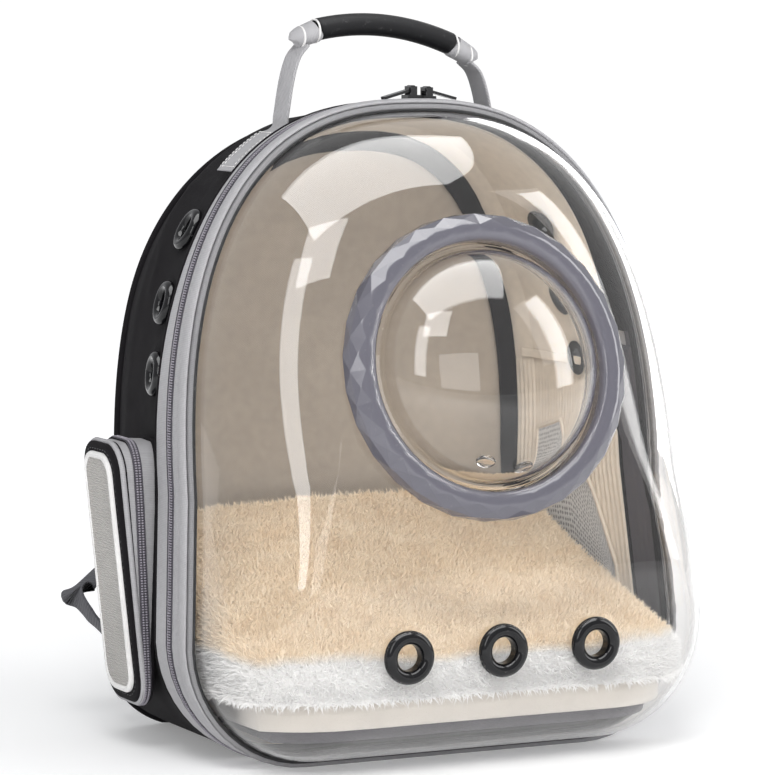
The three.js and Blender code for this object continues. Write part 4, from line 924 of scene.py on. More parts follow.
class MakeStage(bpy.types.Operator):
    """Camera at the photograph's viewing angle, white floor, pale surroundings and soft boxes"""

    bl_idname = "carrier.make_stage"
    bl_label = "Stage"

    def execute(self, context):
        scene = context.scene
        place_eye, right, up, back = camera_rays()
        camera = bpy.data.cameras.new("camera")
        camera.lens = look().lens
        camera.sensor_width = 36
        camera.clip_end = 50
        eye = bpy.data.objects.new("camera", camera)
        turn = Matrix(np.stack([right, up, back], 1).tolist()).to_4x4()
        eye.matrix_world = Matrix.Translation(place(place_eye)) @ turn
        scene.collection.objects.link(eye)
        scene.camera = eye
        self.make_floor()
        self.make_surroundings(scene)
        self.make_lights()
        scene.view_settings.view_transform = "Standard"
        scene.view_settings.look = "None"
        return {"FINISHED"}

    def make_floor(self):
        mesh = bpy.data.meshes.new("floor")
        mesh.from_pydata([(-9, -9, 0), (9, -9, 0), (9, 9, 0), (-9, 9, 0)], [], [(0, 1, 2, 3)])
        material, g, shader = new_material("floor_paper_painted_glow", (0.9, 0.9, 0.9), 0.75, {"Specular IOR Level": 0.1})
        where = g.add("ShaderNodeTexCoord").outputs["Object"]
        bump(g, shader, g.noise(where, 900.0, 2.0), 0.00005)
        g.tree.links.new(g.range(g.noise(where, 3.0, 2.0), 0.3, 0.7, 0.7, 0.8), shader["Roughness"])
        # The floor glows, more the further it lies from the carrier: painted light that keeps the far floor
        # white, weaker near the carrier so that shadow shows there.
        shader["Emission Color"].default_value = (1, 1, 1, 1)
        away = g.add("ShaderNodeVectorMath", {0: where}, operation="LENGTH").outputs["Value"]
        g.tree.links.new(g.range(away, 0.25, 1.1, 0.22, 0.55), shader["Emission Strength"])
        object_of("floor", mesh, material)

    def make_surroundings(self, scene):
        world = scene.world or bpy.data.worlds.new("surroundings")
        scene.world = world
        world.use_nodes = True
        g = Graph(world.node_tree)
        world.node_tree.nodes.clear()
        path = g.add("ShaderNodeLightPath").outputs
        seen = g.add("ShaderNodeBackground", {"Color": (1, 1, 1, 1), "Strength": 1.02}).outputs[0]
        around = g.add("ShaderNodeBackground", {"Color": (0.97, 0.98, 1, 1), "Strength": 0.55}).outputs[0]
        through = g.math("MULTIPLY", path["Is Transmission Ray"], 0.8)
        direct = g.math("MAXIMUM", path["Is Camera Ray"], through)
        both = g.add("ShaderNodeMixShader", {0: direct, 1: around, 2: seen}).outputs[0]
        g.add("ShaderNodeOutputWorld", {0: both})

    def make_lights(self):
        middle = (0, -0.05, 0.25)
        soft_box("key_light", (-0.9, -1.3, 1.75), middle, 0.9, 0.7, 20, reflected=False)
        soft_box("side_light", (1.4, -1.0, 1.1), middle, 0.8, 1.1, 8, reflected=False)
        soft_box("front_light", (-0.5, -2.2, 0.7), middle, 1.2, 0.9, 12, reflected=False)
        soft_box("overhead_box", (-0.1, -0.36, 1.85), (-0.1, -0.35, 0.25), 1.9, 1.55, 50)
        soft_box("tall_box", (-1.19, -1.07, 0.95), (0, -0.05, 0.3), 0.42, 1.1, 7)
        soft_box("right_box", (1.3, -0.8, 0.8), (0, -0.05, 0.3), 0.45, 1.25, 9)
        soft_box("rim_box", (1.1, 1.2, 0.6), (0.1, 0, 0.2), 0.4, 1.2, 6)


# Clear shell, window, ring and eyelets


def shell_rows(inside, fine=1):
    """Rings of one skin of the shell, from its rim to the hole of the window"""
    ring = outline(-inside, fine=fine) - [0, WINDOW_HEIGHT]
    reach = np.hypot(*ring.T)
    across, up = (ring / reach[:, None]).T
    end = lerp(SHELL_ROUND_SIDE, SHELL_ROUND_END, up**2) - inside
    hole = 1 / np.hypot(across / WINDOW_HOLE, up / (WINDOW_HOLE * math.cos(SHELL_TILT)))
    rows = []
    for k in range(17 * fine + 14):
        if k <= 16 * fine:
            left = reach - end * (1 - math.cos(math.pi / 2 * k / (16 * fine)))
        else:
            left = lerp(reach - end, hole, (k - 16 * fine) / (fine + 13))
        left = np.maximum(left, hole + 0.02 * (17 * fine + 13 - k))
        turn = np.clip(1 - (reach - left) / end, 0, 1)
        z = WINDOW_HEIGHT + up * left
        y = lerp(rim_y(z), front_y(z) + inside, np.sqrt(1 - turn**2))
        rows.append(np.stack([across * left, y, z], 1))
    return rows


def hollow_out(obj, seats, radius, depth, sides=48):
    """Cuts round holes through a piece"""
    turns = np.arange(sides) * 2 * math.pi / sides
    x, z = radius * np.cos(turns), radius * np.sin(turns)
    for seat in seats:
        rows = [seated(np.stack([x, np.full(sides, h), z], 1), seat) for h in (-depth, depth)]
        cutter = skin("cutter", rows, obj.data.materials[0], crease=None)
        cut = obj.modifiers.new("hole", "BOOLEAN")
        cut.operation, cut.solver, cut.object = "DIFFERENCE", "EXACT", cutter
        graph = bpy.context.evaluated_depsgraph_get()
        made = bpy.data.meshes.new_from_object(obj.evaluated_get(graph), depsgraph=graph)
        obj.modifiers.remove(cut)
        obj.data = made
        bpy.data.objects.remove(cutter)
    obj.data.set_sharp_from_angle(angle=math.radians(40))


def vent_seats():
    y = float(front_y(VENT_HEIGHT))
    return [((side * VENT_SPACING, y, VENT_HEIGHT), (0, -1, 0)) for side in (-1, 0, 1)]


class MakeShell(bpy.types.Operator):
    """Clear front shell with its rounded edge and its holes"""

    bl_idname = "carrier.make_shell"
    bl_label = "Clear shell"

    def execute(self, context):
        outer, inner = shell_rows(0), shell_rows(SHELL_WALL)
        around = np.stack(outer + inner[::-1], 1)
        shell = skin("clear_front_shell", around, material_of("clear shell"), ring=True, crease=40)
        hollow_out(shell, vent_seats(), 10, 8)
        dress(shell, nodes=["front_shell"])
        return {"FINISHED"}


class MakeWindow(bpy.types.Operator):
    """Domed window with its flange, step and two small lugs"""

    bl_idname = "carrier.make_window"
    bl_label = "Bubble window"

    def execute(self, context):
        base, foot, tip = WINDOW_BASE, WINDOW_FOOT, 0.0001
        dome = self.cap(base, foot, WINDOW_RISE, np.linspace(tip, math.pi / 2, 40))
        under = self.cap(base - 2, foot - 1, WINDOW_RISE - 2, np.linspace(math.pi / 2, tip, 40))
        step = [(74.6, 5.2), (75.2, 4.5), (76.4, 4.2), *arc((77.2, 3.0), 1.2, 90, 0, 5), (78.4, -3.1)]
        lip = [(83.2, -3.3), (83.4, -4.4), (83.2, -6), (76.4, -6), (76.2, 1.8), (73.2, 2.3), (72.4, 3.2)]
        seat = window_seat()
        clear = material_of("clear window")
        window = spun("clear_bubble_window", dome + step + lip + under, seat, clear, 128)
        dress(window, nodes=["bubble_window"])
        for k, (angle, reach) in enumerate(((107, 0.87), (83, 0.9))):
            turn = math.radians(angle)
            r = reach * base
            h = lerp(foot, WINDOW_RISE, math.sqrt(1 - reach**2))
            slope = math.atan2(WINDOW_RISE - foot, base) + 0.75
            steep = math.sin(slope)
            out = np.array([math.cos(turn) * steep, math.cos(slope), math.sin(turn) * steep])
            middle = seated([[r * math.cos(turn), h, r * math.sin(turn)]], seat)[0]
            direction = seated([out], ((0, 0, 0), seat[1]))[0]
            profile = [(0.001, 1.5), *arc((5.2, 0.4), 1.1, 90, -10, 5), (5.4, -1.2), (0.001, -1.2)]
            lug = spun("window_lug_%d" % (k + 1), profile, (middle, direction), clear, 32)
            dress(lug)
        return {"FINISHED"}

    def cap(self, radius, foot, rise, turns):
        return [(radius * math.sin(t), lerp(foot, rise, math.cos(t))) for t in turns]


class MakeRing(bpy.types.Operator):
    """Ring round the window: a smooth inner band, diamonds on its shoulder and facets at its foot"""

    bl_idname = "carrier.make_ring"
    bl_label = "Faceted ring"

    def execute(self, context):
        facets, fine = 28, 4
        inner = WINDOW_HOLE + 0.6
        smooth_rows = [(0, 0.04), (0, 0.62), (0.03, 0.76), (0.12, 0.88), (0.38, 0.985)]
        rows = [(0.5, 1.0, 0), (0.72, 0.83, 1), (0.92, 0.55, 0), (0.97, 0.04, 1)]
        points, starts, faces, smooth_faces = [], [], [], []
        n = facets * fine
        levels = [(*level, 0, n) for level in smooth_rows] + [(*level, facets) for level in rows]
        for across, height, shift, count in levels:
            starts.append(len(points))
            r = inner + across * RING_WIDTH
            for k in range(count):
                turn = 2 * math.pi * (k + shift / 2) / count
                points.append((r * math.cos(turn), height * RING_THICKNESS, r * math.sin(turn)))
        for row in range(len(smooth_rows) - 1):
            for k in range(n):
                a, b = starts[row] + k, starts[row] + (k + 1) % n
                faces.append((a, b, b + n if k < n - 1 else starts[row + 1], a + n))
                smooth_faces.append(True)
        band, d, e, f, foot = starts[len(smooth_rows) - 1 :]
        for k in range(facets):
            after, before = (k + 1) % facets, (k - 1) % facets
            corner = [band + (k * fine + j) % n for j in range(fine + 1)]
            # The band's edge reaches into the notch between two diamonds
            faces += [(corner[0], corner[1], d + k), (corner[1], corner[2], e + k, d + k)]
            faces += [(corner[2], corner[3], d + after, e + k), (corner[3], corner[4], d + after)]
            smooth_faces += [True] * 4
            faces += [(d + k, e + k, f + k, e + before), (e + k, f + after, f + k)]
            faces += [(f + k, foot + k, foot + before), (f + k, f + after, foot + k)]
            smooth_faces += [False] * 4
        for k in range(facets):
            corner = [(k * fine + j + fine // 2) % n for j in range(fine + 1)]
            faces += [(foot + k, corner[2], corner[1]), (foot + k, corner[1], corner[0])]
            faces += [(foot + k, corner[3], corner[2]), (foot + k, corner[4], corner[3])]
            faces += [(foot + k, foot + (k + 1) % facets, corner[4])]
            smooth_faces += [False] * 5
        mesh = bpy.data.meshes.new("faceted_ring")
        mesh.from_pydata(place(seated(points, window_seat())).tolist(), [], faces)
        ring = object_of("faceted_ring", mesh, material_of("ring"))
        bm = bmesh.new()
        bm.from_mesh(mesh)
        bmesh.ops.recalc_face_normals(bm, faces=bm.faces)
        bm.to_mesh(mesh)
        bm.free()
        mesh.polygons.foreach_set("use_smooth", smooth_faces)
        dress(ring, nodes=["window_ring"])
        return {"FINISHED"}


def side_eyelet_seats():
    seats = {}
    for level, z in SIDE_EYELETS.items():
        y = rim_y(z) + SIDE_EYELET_BEHIND
        slope = (body_half_width(y, z + 10) - body_half_width(y, z - 10)) / 20
        taper = (body_half_width(y + 10, z) - body_half_width(y - 10, z)) / 20
        for name, side in SIDES:
            normal = np.array([side, -taper, -slope]) / math.hypot(1, taper, slope)
            seats[name + "_" + level] = (np.array([side * float(body_half_width(y, z)), y, z]), normal)
    return seats


class MakeEyelets(bpy.types.Operator):
    """Round glossy eyelets: three vents in the shell and three in each side of the body"""

    bl_idname = "carrier.make_eyelets"
    bl_label = "Eyelets"

    def profile(self, scale, wall):
        barrel, bead = 9.7 * scale, 4.3 * scale
        bore = barrel - 1.3
        middle = (bore + bead, 1.2)
        front = arc(middle, bead, 180, -12, 22, 1.02)
        flange = arc((barrel + 3.2, -wall - 0.9), 0.9, 90, -90, 6)
        return [(bore, -wall - 1.6), *front, (barrel, 0.25), (barrel, -wall), (barrel + 3.2, -wall), *flange]

    def execute(self, context):
        for name, seat in zip(("left", "middle", "right"), vent_seats()):
            vent = spun("vent_bead_" + name, self.profile(1, 2.8), seat, material_of("gloss black"), 64)
            dress(vent, nodes=["vent_eyelet_" + name])
        for name, (middle, normal) in side_eyelet_seats().items():
            seat = (middle + normal * 1.2, normal)
            eyelet = spun("side_bead_" + name, self.profile(0.88, 8), seat, material_of("gloss black"), 64)
            dress(eyelet, nodes=["side_eyelet_" + name])
        return {"FINISHED"}


# Rim, gusset and zip


def rim_strip(name, section, material, nodes=()):
    """A piece of one section round the rim"""
    return dress(skin(name, rim_loop(section), material_of(material), ring=True), nodes=nodes)


def rim_cord(name, out, behind, wide, deep, count, material, slot):
    """A cord round the rim, wide outwards and deep towards the rear"""
    section = []
    for t in np.linspace(0, 2 * math.pi, count, endpoint=False):
        section.append((out + wide * math.cos(t), lambda z, t=t: behind(z) + deep * math.sin(t)))
    dress(skin(name, rim_loop(section), material_of(material), ring=True, crease=None))


class MakeRim(bpy.types.Operator):
    """Gasket, piping and grey bands round the rim, with the black bands inside"""

    bl_idname = "carrier.make_rim"
    bl_label = "Rim and bands"

    def execute(self, context):
        front = [(0.35, 0.3), (0.35, -3.4)]
        front += [(2.5 - 1.9 * math.cos(t), -3.2 - 1.3 * math.sin(t)) for t in np.linspace(0.4, 2.7, 7)]
        gasket = [*front, (4.5, -2.4), (4.5, 7.8), (-SHELL_WALL, 7.9), (-SHELL_WALL, 0.3)]
        rim_strip("rim_gasket_strip", gasket, "steel tape", ["rim_gasket"])
        rim_cord("rim_piping", 6.0, lambda z: 2.4, 1.75, 5.3, 18, "tape", "grey_tape")
        rim_cord("rim_bead", 0.6, lambda z: -3.4, 1.5, 1.6, 8, "bead", "black_plastic")
        face, rear = -SHELL_WALL - 0.15, -SHELL_WALL - 1.1
        lining = [(face, 0.6), (face, BAND_START), (rear, BAND_START), (rear, 0.6)]
        rim_strip("gasket_lining", lining, "binding")
        front, rear = (lambda z: chain_front(z) - 0.3), (lambda z: chain_back(z) + 0.3)
        self.band("front_band", "gusset_band_front", lambda z: BAND_START + 0 * z, front)
        self.band("rear_band", "gusset_band_rear", rear, band_depth)
        self.edges()
        self.inner_bands()
        return {"FINISHED"}

    def band(self, name, node, start, end):
        """A woven band, slightly crowned between its folded edges"""
        section = [(2.8, start), (2.8, end)]
        for t in np.linspace(1, 0, 13):
            crown = 0.55 * math.sin(math.pi * t) + 0.35 * (abs(t - 0.5) > 0.42)
            section.append((BAND_OUT - 0.3 + crown, lambda z, t=t: lerp(start(z), end(z), t)))
        rim_strip(name, section, "tape", [node])

    def edges(self):
        """Dark piped lines where the bands meet the body and the zip"""
        line = (0.55, 0.55, 6, "dark tape", "dark_tape")
        rim_cord("zip_line_front", BAND_OUT + 0.1, lambda z: chain_front(z) - 0.9, *line)
        rim_cord("zip_line_rear", BAND_OUT + 0.1, lambda z: chain_back(z) + 0.9, *line)
        rim_cord("body_piping", 2.9, lambda z: band_depth(z) + 0.9, 2.7, 2.5, 12, "binding", "black_cloth")

    def inner_bands(self):
        outs = (2.4, 0.9)
        section = []
        for t in np.linspace(0, 1, 17):
            ridge = 0.8 * math.exp(-(((t - 0.5) / 0.06) ** 2)) + 0.3 * abs(math.sin(6 * math.pi * t))
            section.append((outs[1] - ridge, lambda z, t=t: lerp(8.6, band_depth(z), t)))
        section += [(outs[0], band_depth), (outs[0], lambda z: 8.6 + 0 * z)]
        rows = rim_loop(section)
        high = rows[:, 0, 2] > 262
        first = int(np.argmax(high))
        upper = rows[high]
        lower = np.roll(rows, -(first + int(high.sum())), axis=0)[: int((~high).sum())]
        upper = skin("inner_binding_upper", upper, material_of("binding"))
        dress(upper, nodes=["inner_band_upper"])
        lower = skin("inner_binding_lower", lower, material_of("dark tape"))
        dress(lower, nodes=["inner_band_lower"])


class MakeZip(bpy.types.Operator):
    """Zip round the rim: its tape, with two rows of coil"""

    bl_idname = "carrier.make_zip"
    bl_label = "Zip"

    def execute(self, context):
        section = [(2.8, chain_front), (2.8, chain_back), (4.6, chain_back)]
        section += [(4.9, lambda z: chain_back(z) - 1.6), (4.4, lambda z: chain_front(z) + 3)]
        section += [(4.9, lambda z: chain_front(z) + 1.6), (4.6, chain_front)]
        rim_strip("zip_tape", section, "dark tape", ["zip_chain"])
        tooth = bead_shape("coil_tooth", 1.25, 2.3, 1.5)
        paths, outs = [], []
        for middle in (1.75, 4.25):
            rows = rim_loop([(BAND_OUT + 0.25, lambda z, m=middle: chain_front(z) + m)], 2)[:, 0]
            inner = rim_loop([(BAND_OUT - 1, lambda z, m=middle: chain_front(z) + m)], 2)[:, 0]
            out = rows - inner
            paths.append((rows, True))
            outs.append(out / np.linalg.norm(out, axis=1)[:, None])
        teeth = repeat("zip_coils", paths, outs, tooth, look().tooth_pitch / MM, material_of("teeth"))
        dress(teeth)
        return {"FINISHED"}


# Soft body, linings and back


class MakeBody(bpy.types.Operator):
    """Black cloth body: a wall with soft wrinkles and a raised cross seam on each shoulder"""

    bl_idname = "carrier.make_body"
    bl_label = "Soft body"

    def execute(self, context):
        shares = np.linspace(0, 1, 34)
        outer = np.stack([body_ring(share, 0, 2) for share in shares], 1)
        inner = np.stack([body_ring(share, BODY_WALL, 2) for share in shares[::-1]], 1)
        depth = look().wrinkle_depth / MM
        flat = outer.reshape(-1, 3)
        broad = wander(flat * [1, 1.6, 1], 62, 3.1)
        fold = 1 - np.abs(wander(flat * [1, 0.75, 1.3], 46, 8.4)) * 2.4
        fine = wander(flat, 17, 1.9)
        t = np.tile(shares, len(outer))
        hold = np.sin(np.pi * np.clip(t, 0.02, 0.98)) ** 0.6 * ease(flat[:, 2] / 60)
        lift = depth * hold * (0.9 * broad + 0.8 * np.clip(fold, 0, 1) ** 3 - 0.35 + 0.16 * fine)
        away = away_from(flat, [1, 0, 1], [0, 0, 190])
        seam = np.exp(-(((self.seam_distance(flat)) / 2.6) ** 2)) * 1.3 * hold
        outer = (flat + away * (lift + seam - 0.2)[:, None]).reshape(outer.shape)
        body = skin("soft_body", np.concatenate([outer, inner], 1), material_of("body"), ring=True, crease=60)
        hollow_out(body, side_eyelet_seats().values(), 8.8, 9, 32)
        dress(body, nodes=["body_side"])
        return {"FINISHED"}

    def seam_distance(self, points):
        """How far places lie from the cross seams on the shoulders"""
        return np.abs(np.abs(points[:, 0]) * 0.72 - (points[:, 2] - 190) * 0.69 + 40.0)


class MakeLinings(bpy.types.Operator):
    """Beige side lining, gathered below its seam, and back lining in the same beige darkened as painted
    shade, with black piping round it
    """

    bl_idname = "carrier.make_linings"
    bl_label = "Linings"

    seam_height = 243

    def execute(self, context):
        inside, wall = BODY_WALL + 0.3, 1.6
        shares = np.linspace(0, 0.97, 120)
        outer = np.stack([body_ring(share, inside) for share in shares[::6]], 1)
        inner = np.stack([body_ring(share, inside + wall) for share in shares[::-1]], 1)
        flat = inner.reshape(-1, 3)
        t = np.tile(shares[::-1], len(inner))
        below = ease((self.seam_height - 4 - flat[:, 2]) / 25) * ease((flat[:, 2] - 60) / 60)
        ribs = np.sin(t * 2 * np.pi * 27 + 1.5 * wander(flat, 40, 5.0)) * 0.55 - 0.1
        rise = below * ribs + 0.5 * wander(flat, 45, 2.0) - 0.2
        away = away_from(flat, [1, 0, 1], [0, 0, 190])
        inner = (flat - away * np.clip(rise, -0.6, 0.9)[:, None]).reshape(inner.shape)
        rows = np.concatenate([outer, inner], 1)
        lining = skin("beige_side_lining", rows, material_of("beige"), ring=True, crease=60)
        hollow_out(lining, side_eyelet_seats().values(), 8.8, 12, 32)
        dress(lining, nodes=["side_lining"])
        for name, side in SIDES:
            self.make_seam(name, side)
        self.make_back()
        return {"FINISHED"}

    def make_seam(self, name, side):
        """Flat fold where the gathered cloth begins"""
        z = self.seam_height
        y = np.linspace(float(body_front_y(z)) + 1, float(back_y(z)) - 12, 30)
        share = (y - body_front_y(z)) / (back_y(z) - body_front_y(z))
        x = half_width_at(z, body_grow(share)[0] - BODY_WALL - 2.9)
        path = np.stack([side * x, y, np.full(30, z, float)], 1)
        fold = sweep("lining_seam_" + name, path, strip(6, 1.0), (0, 0, 1), material_of("beige"))
        dress(fold)

    def make_back(self):
        inside = BODY_WALL + 1.6 + 0.9
        steps = np.concatenate([np.linspace(0, 0.9, 24), [0.96, 0.9999]])
        ring = body_ring(1, inside)
        middle = lerp(RIM_FOOT, RIM_TOP, 0.48)

        def face(step, forward, sag):
            x = ring[:, 0] * (1 - step)
            z = lerp(ring[:, 2], middle, step)
            p = np.stack([x, back_y(z) + forward, z], 1)
            p[:, 1] -= sag * (0.8 * np.abs(wander(p * [1, 0, 0.55], 80, 4.0))) * min(1, step * 8)
            return p

        rows = [face(step, -1.6, 1.6) for step in steps[::-1]] + [face(step, -0.3, 0) for step in steps]
        # The back lining's cloth is the side beige darkened as painted shade.
        lining = flat_map(skin("taupe_back_lining", np.array(rows), material_of("beige_in_painted_shade"), crease=60), 0, 2)
        dress(lining, nodes=["back_lining"])
        loop = body_ring(0.97, inside + 7.6)
        loop[:, 1] = back_y(loop[:, 2]) - 4.6
        piping = loop_tube("inner_back_piping", loop, 2.2, material_of("binding"), sides=16, flat=3.2)
        dress(piping, nodes=["back_seam"])


class MakeBack(bpy.types.Operator):
    """Padded back panel in air mesh, sewn in channels, with a binding round its edge"""

    bl_idname = "carrier.make_back"
    bl_label = "Back panel"

    def channels(self, x, z):
        """Share of the padding left at a place: sewn lines leave a groove"""
        lines = [np.abs(np.abs(x) - 24 - 0.04 * (z - 60))]
        lines += [np.abs(z - level - 0.12 * np.abs(x)) for level in (96, 168, 240, 312)]
        near = np.min(lines, axis=0)
        return 1 - 0.62 * np.exp(-((near / 5.5) ** 2))

    def execute(self, context):
        ring = body_ring(1, 0, 2)
        middle = lerp(RIM_FOOT, RIM_TOP, 0.48)
        steps = np.concatenate([[0, 0.008, 0.02, 0.04], np.linspace(0.06, 0.97, 52), [0.9999]])
        swell = np.interp(steps, [0, 0.008, 0.02, 0.04, 0.08, 0.5], [0.12, 0.45, 0.6, 0.5, 0.9, 1])
        rows = []
        for step in steps[::-1]:
            z = lerp(ring[:, 2], middle, step)
            rows.append(np.stack([ring[:, 0] * (1 - step), back_y(z) + 0.4, z], 1))
        for step, height in zip(steps, swell):
            x, z = ring[:, 0] * (1 - step), lerp(ring[:, 2], middle, step)
            left = self.channels(x, z) if step > 0.05 else 1.0
            rows.append(np.stack([x, back_y(z) + 0.6 + (BACK_THICKNESS - 0.6) * height * left, z], 1))
        panel = flat_map(skin("padded_back_panel", np.array(rows), material_of("air mesh"), crease=60), 0, 2)
        dress(panel, nodes=["back_panel"])
        loop = body_ring(1, 0.5, 2)
        loop[:, 2] = np.maximum(loop[:, 2], 3.9)
        loop[:, 1] = back_y(loop[:, 2]) + 2.4
        dress(loop_tube("back_edge_binding", loop, 3.0, material_of("binding"), sides=10))
        return {"FINISHED"}


# Pockets and mesh windows


def pocket_outline(inset, steps=10, run=6):
    (front, rear), (low, high) = POCKET_DEPTHS, POCKET_HEIGHTS
    half, middle = (rear - front) / 2 - inset, (rear + front) / 2
    turn = half * 0.62
    low, high = low + inset, high - inset
    corners = [(middle + half - turn, low + turn, 3), (middle + half - turn, high - turn, 0)]
    corners += [(middle - half + turn, high - turn, 1), (middle - half + turn, low + turn, 2)]
    points = []
    for y, z, quarter in corners:
        for k in range(steps):
            angle = math.pi / 2 * (quarter + k / (steps - 1))
            points.append((y + turn * math.cos(angle), z + turn * math.sin(angle)))
    done = []
    for k, p in enumerate(points):
        q = points[(k + 1) % len(points)]
        parts = run if k % steps == steps - 1 else 1
        done += [(lerp(p[0], q[0], j / parts), lerp(p[1], q[1], j / parts)) for j in range(parts)]
    return np.array(done)


def pocket_face_x(z):
    low, high = POCKET_HEIGHTS
    return RIM_HALF_WIDTH + lerp(POCKET_OUT[0], POCKET_OUT[1], (z - low) / (high - low))


class MakePockets(bpy.types.Operator):
    """Side pockets: zipped gusset, black border, light welt and fine mesh panel"""

    bl_idname = "carrier.make_pockets"
    bl_label = "Side pockets"

    def execute(self, context):
        for name, side in SIDES:
            self.pocket("pocket_" + name, side)
        return {"FINISHED"}

    def across(self, points, share):
        """Across at a share of the way from the body to the outer face"""
        y, z = points.T
        return lerp(body_half_width(y, z) + 0.8, pocket_face_x(z) - 1, share)

    def loop(self, side, inset, share):
        points = pocket_outline(inset)
        return np.stack([side * self.across(points, share), *points.T], 1)

    def pocket(self, name, side):
        shares = np.linspace(0, 1, 13)
        outer = [self.loop(side, -0.9 * math.sin(math.pi * t) + 0.4, t) for t in shares]
        inner = [self.loop(side, 2.6, t) for t in shares[::-1]]
        rows = np.stack(outer + inner, 1)
        gusset = skin(name + "_gusset_tape", rows, material_of("tape"), ring=True, crease=60)
        dress(gusset, nodes=[name + "_gusset"])
        for place_name, share, inset, radius, material in (
            ("inner_piping", 0.04, -0.3, 1.7, "binding"),
            ("outer_piping", 0.95, -0.2, 1.9, "tape"),
            ("outer_line", 0.87, -0.5, 0.7, "binding"),
            ("zip_line_out", 0.645, -0.9, 0.6, "binding"),
            ("zip_line_in", 0.475, -0.9, 0.6, "binding"),
        ):
            path = self.loop(side, inset, share)
            cord = loop_tube(name + "_" + place_name, path, radius, material_of(material), (1, 0, 0), 8)
            dress(cord)
        self.zip(name, side)
        self.face(name, side)

    def zip(self, name, side):
        rows = []
        for across, inset in ((-3.0, -1.3), (3.0, -1.3), (3.0, -0.7), (-3.0, -0.7)):
            loop = self.loop(side, inset - 0.3, 0.56)
            loop[:, 0] += side * across
            rows.append(loop)
        tape = skin(name + "_zip_tape", np.stack(rows, 1), material_of("dark tape"), ring=True, crease=60)
        dress(tape, nodes=[name + "_zip"])
        tooth = bead_shape("coil_tooth", 1.2, 2.0, 1.3)
        paths, outs = [], []
        for across in (-1.1, 1.1):
            path, under = self.loop(side, -2.0, 0.56), self.loop(side, -1.0, 0.56)
            path[:, 0] += side * across
            under[:, 0] += side * across
            paths.append((path, True))
            out = path - under
            outs.append(out / np.linalg.norm(out, axis=1)[:, None])
        coils = repeat(name + "_zip_coils", paths, outs, tooth, look().tooth_pitch / MM, material_of("teeth"))
        dress(coils)

    def plate(self, name, side, inset, low, rings, material):
        """A flat pad over the pocket face: rings of how far in, and heights of its under and upper skin"""
        loop = pocket_outline(inset)
        middle = np.array([sum(POCKET_DEPTHS) / 2, sum(POCKET_HEIGHTS) / 2])
        rows = []
        for skin_index, order in ((0, rings[::-1]), (1, rings)):
            for shrink, *heights in order:
                p = lerp(loop, middle, shrink)
                x = pocket_face_x(p[:, 1]) + low + heights[skin_index]
                rows.append(np.stack([side * x, *p.T], 1))
        return skin(name, np.array(rows), material_of(material), crease=60)

    def face(self, name, side):
        rings = [(0, 0.1, 1.2), (0.012, 0, 2.2), (0.035, 0, 2.7), (0.1, 0.3, 3.1)]
        rings += [(0.2, 0.8, 3.3), (0.6, 2, 4.2), (0.9999, 2, 4.4)]
        cover = flat_map(self.plate(name + "_cover", side, 0, -0.7, rings, "body"), 1, 2)
        dress(cover, nodes=[name + "_face"])
        welt = pocket_outline(8.4)
        loop = np.stack([side * (pocket_face_x(welt[:, 1]) + 3.0), *welt.T], 1)
        frame_cord = loop_tube(name + "_welt", loop, 2.3, material_of("thread"), (1, 0, 0), 10, 1.0)
        dress(frame_cord)
        rings = [(0, 0.2, 0.6), (0.02, 0, 1.3), (0.15, 0, 1.2), (0.5, 0, 0.9), (0.9999, 0, 0.8)]
        panel = flat_map(self.plate(name + "_fine_mesh", side, 9.6, 3.2, rings, "panel"), 1, 2)
        dress(panel, nodes=[name + "_mesh_panel"])
        path = pocket_outline(4.4)
        face_path = np.stack([side * (pocket_face_x(path[:, 1]) + 2.35), *path.T], 1)
        stitch = bead_shape("stitch", 2.6, 0.7, 0.5)
        outs = np.broadcast_to([side, 0, -0.12 * side], face_path.shape)
        pitch = look().stitch_pitch / MM
        thread = material_of("dark thread")
        run = repeat(name + "_stitches", [(face_path, True)], [outs], stitch, pitch, thread)
        dress(run)


class MakeMeshWindows(bpy.types.Operator):
    """White dotted mesh windows on the inside of the walls, with a bound edge"""

    bl_idname = "carrier.make_mesh_windows"
    bl_label = "Mesh windows"

    def execute(self, context):
        low_z, high_z = POCKET_HEIGHTS
        columns = np.array([(0.08, 0.36, 0.42), (0.2, 0.3, 0.7), (0.45, 0.3, 0.97), (0.75, 0.34, 0.92)])
        shares = np.linspace(0.08, 0.75, 26)
        for name, side in SIDES:
            rows = []
            for share in shares:
                low, high = (np.interp(share, columns[:, 0], columns[:, k]) for k in (1, 2))
                z = lerp(low_z, high_z, np.linspace(low, high, 22))
                y = lerp(body_front_y(z), back_y(z), share)
                half = body_half_width(y, z)
                near, far = (np.stack([side * (half - inside), y, z], 1) for inside in (5.9, 6.8))
                rows.append(np.concatenate([near, far[::-1]]))
            rows = np.array(rows)
            window = skin("dotted_window_" + name, rows, material_of("mesh"), crease=60)
            dress(window, nodes=["mesh_window_" + name])
            edge = np.concatenate([rows[:, 21], rows[-1, 1:21][::-1], rows[::-1, 0], rows[0, 1:21]])
            edge = edge + [-side * 0.7, 0, 0]
            cord = loop_tube("window_binding_" + name, edge, 1.5, material_of("beige"), (1, 0, 0), 8)
            dress(cord)
        return {"FINISHED"}


# Floor and mat


def lay_z(y, front):
    return front - 0.035 * (y + SHELL_DEPTH * 0.75)


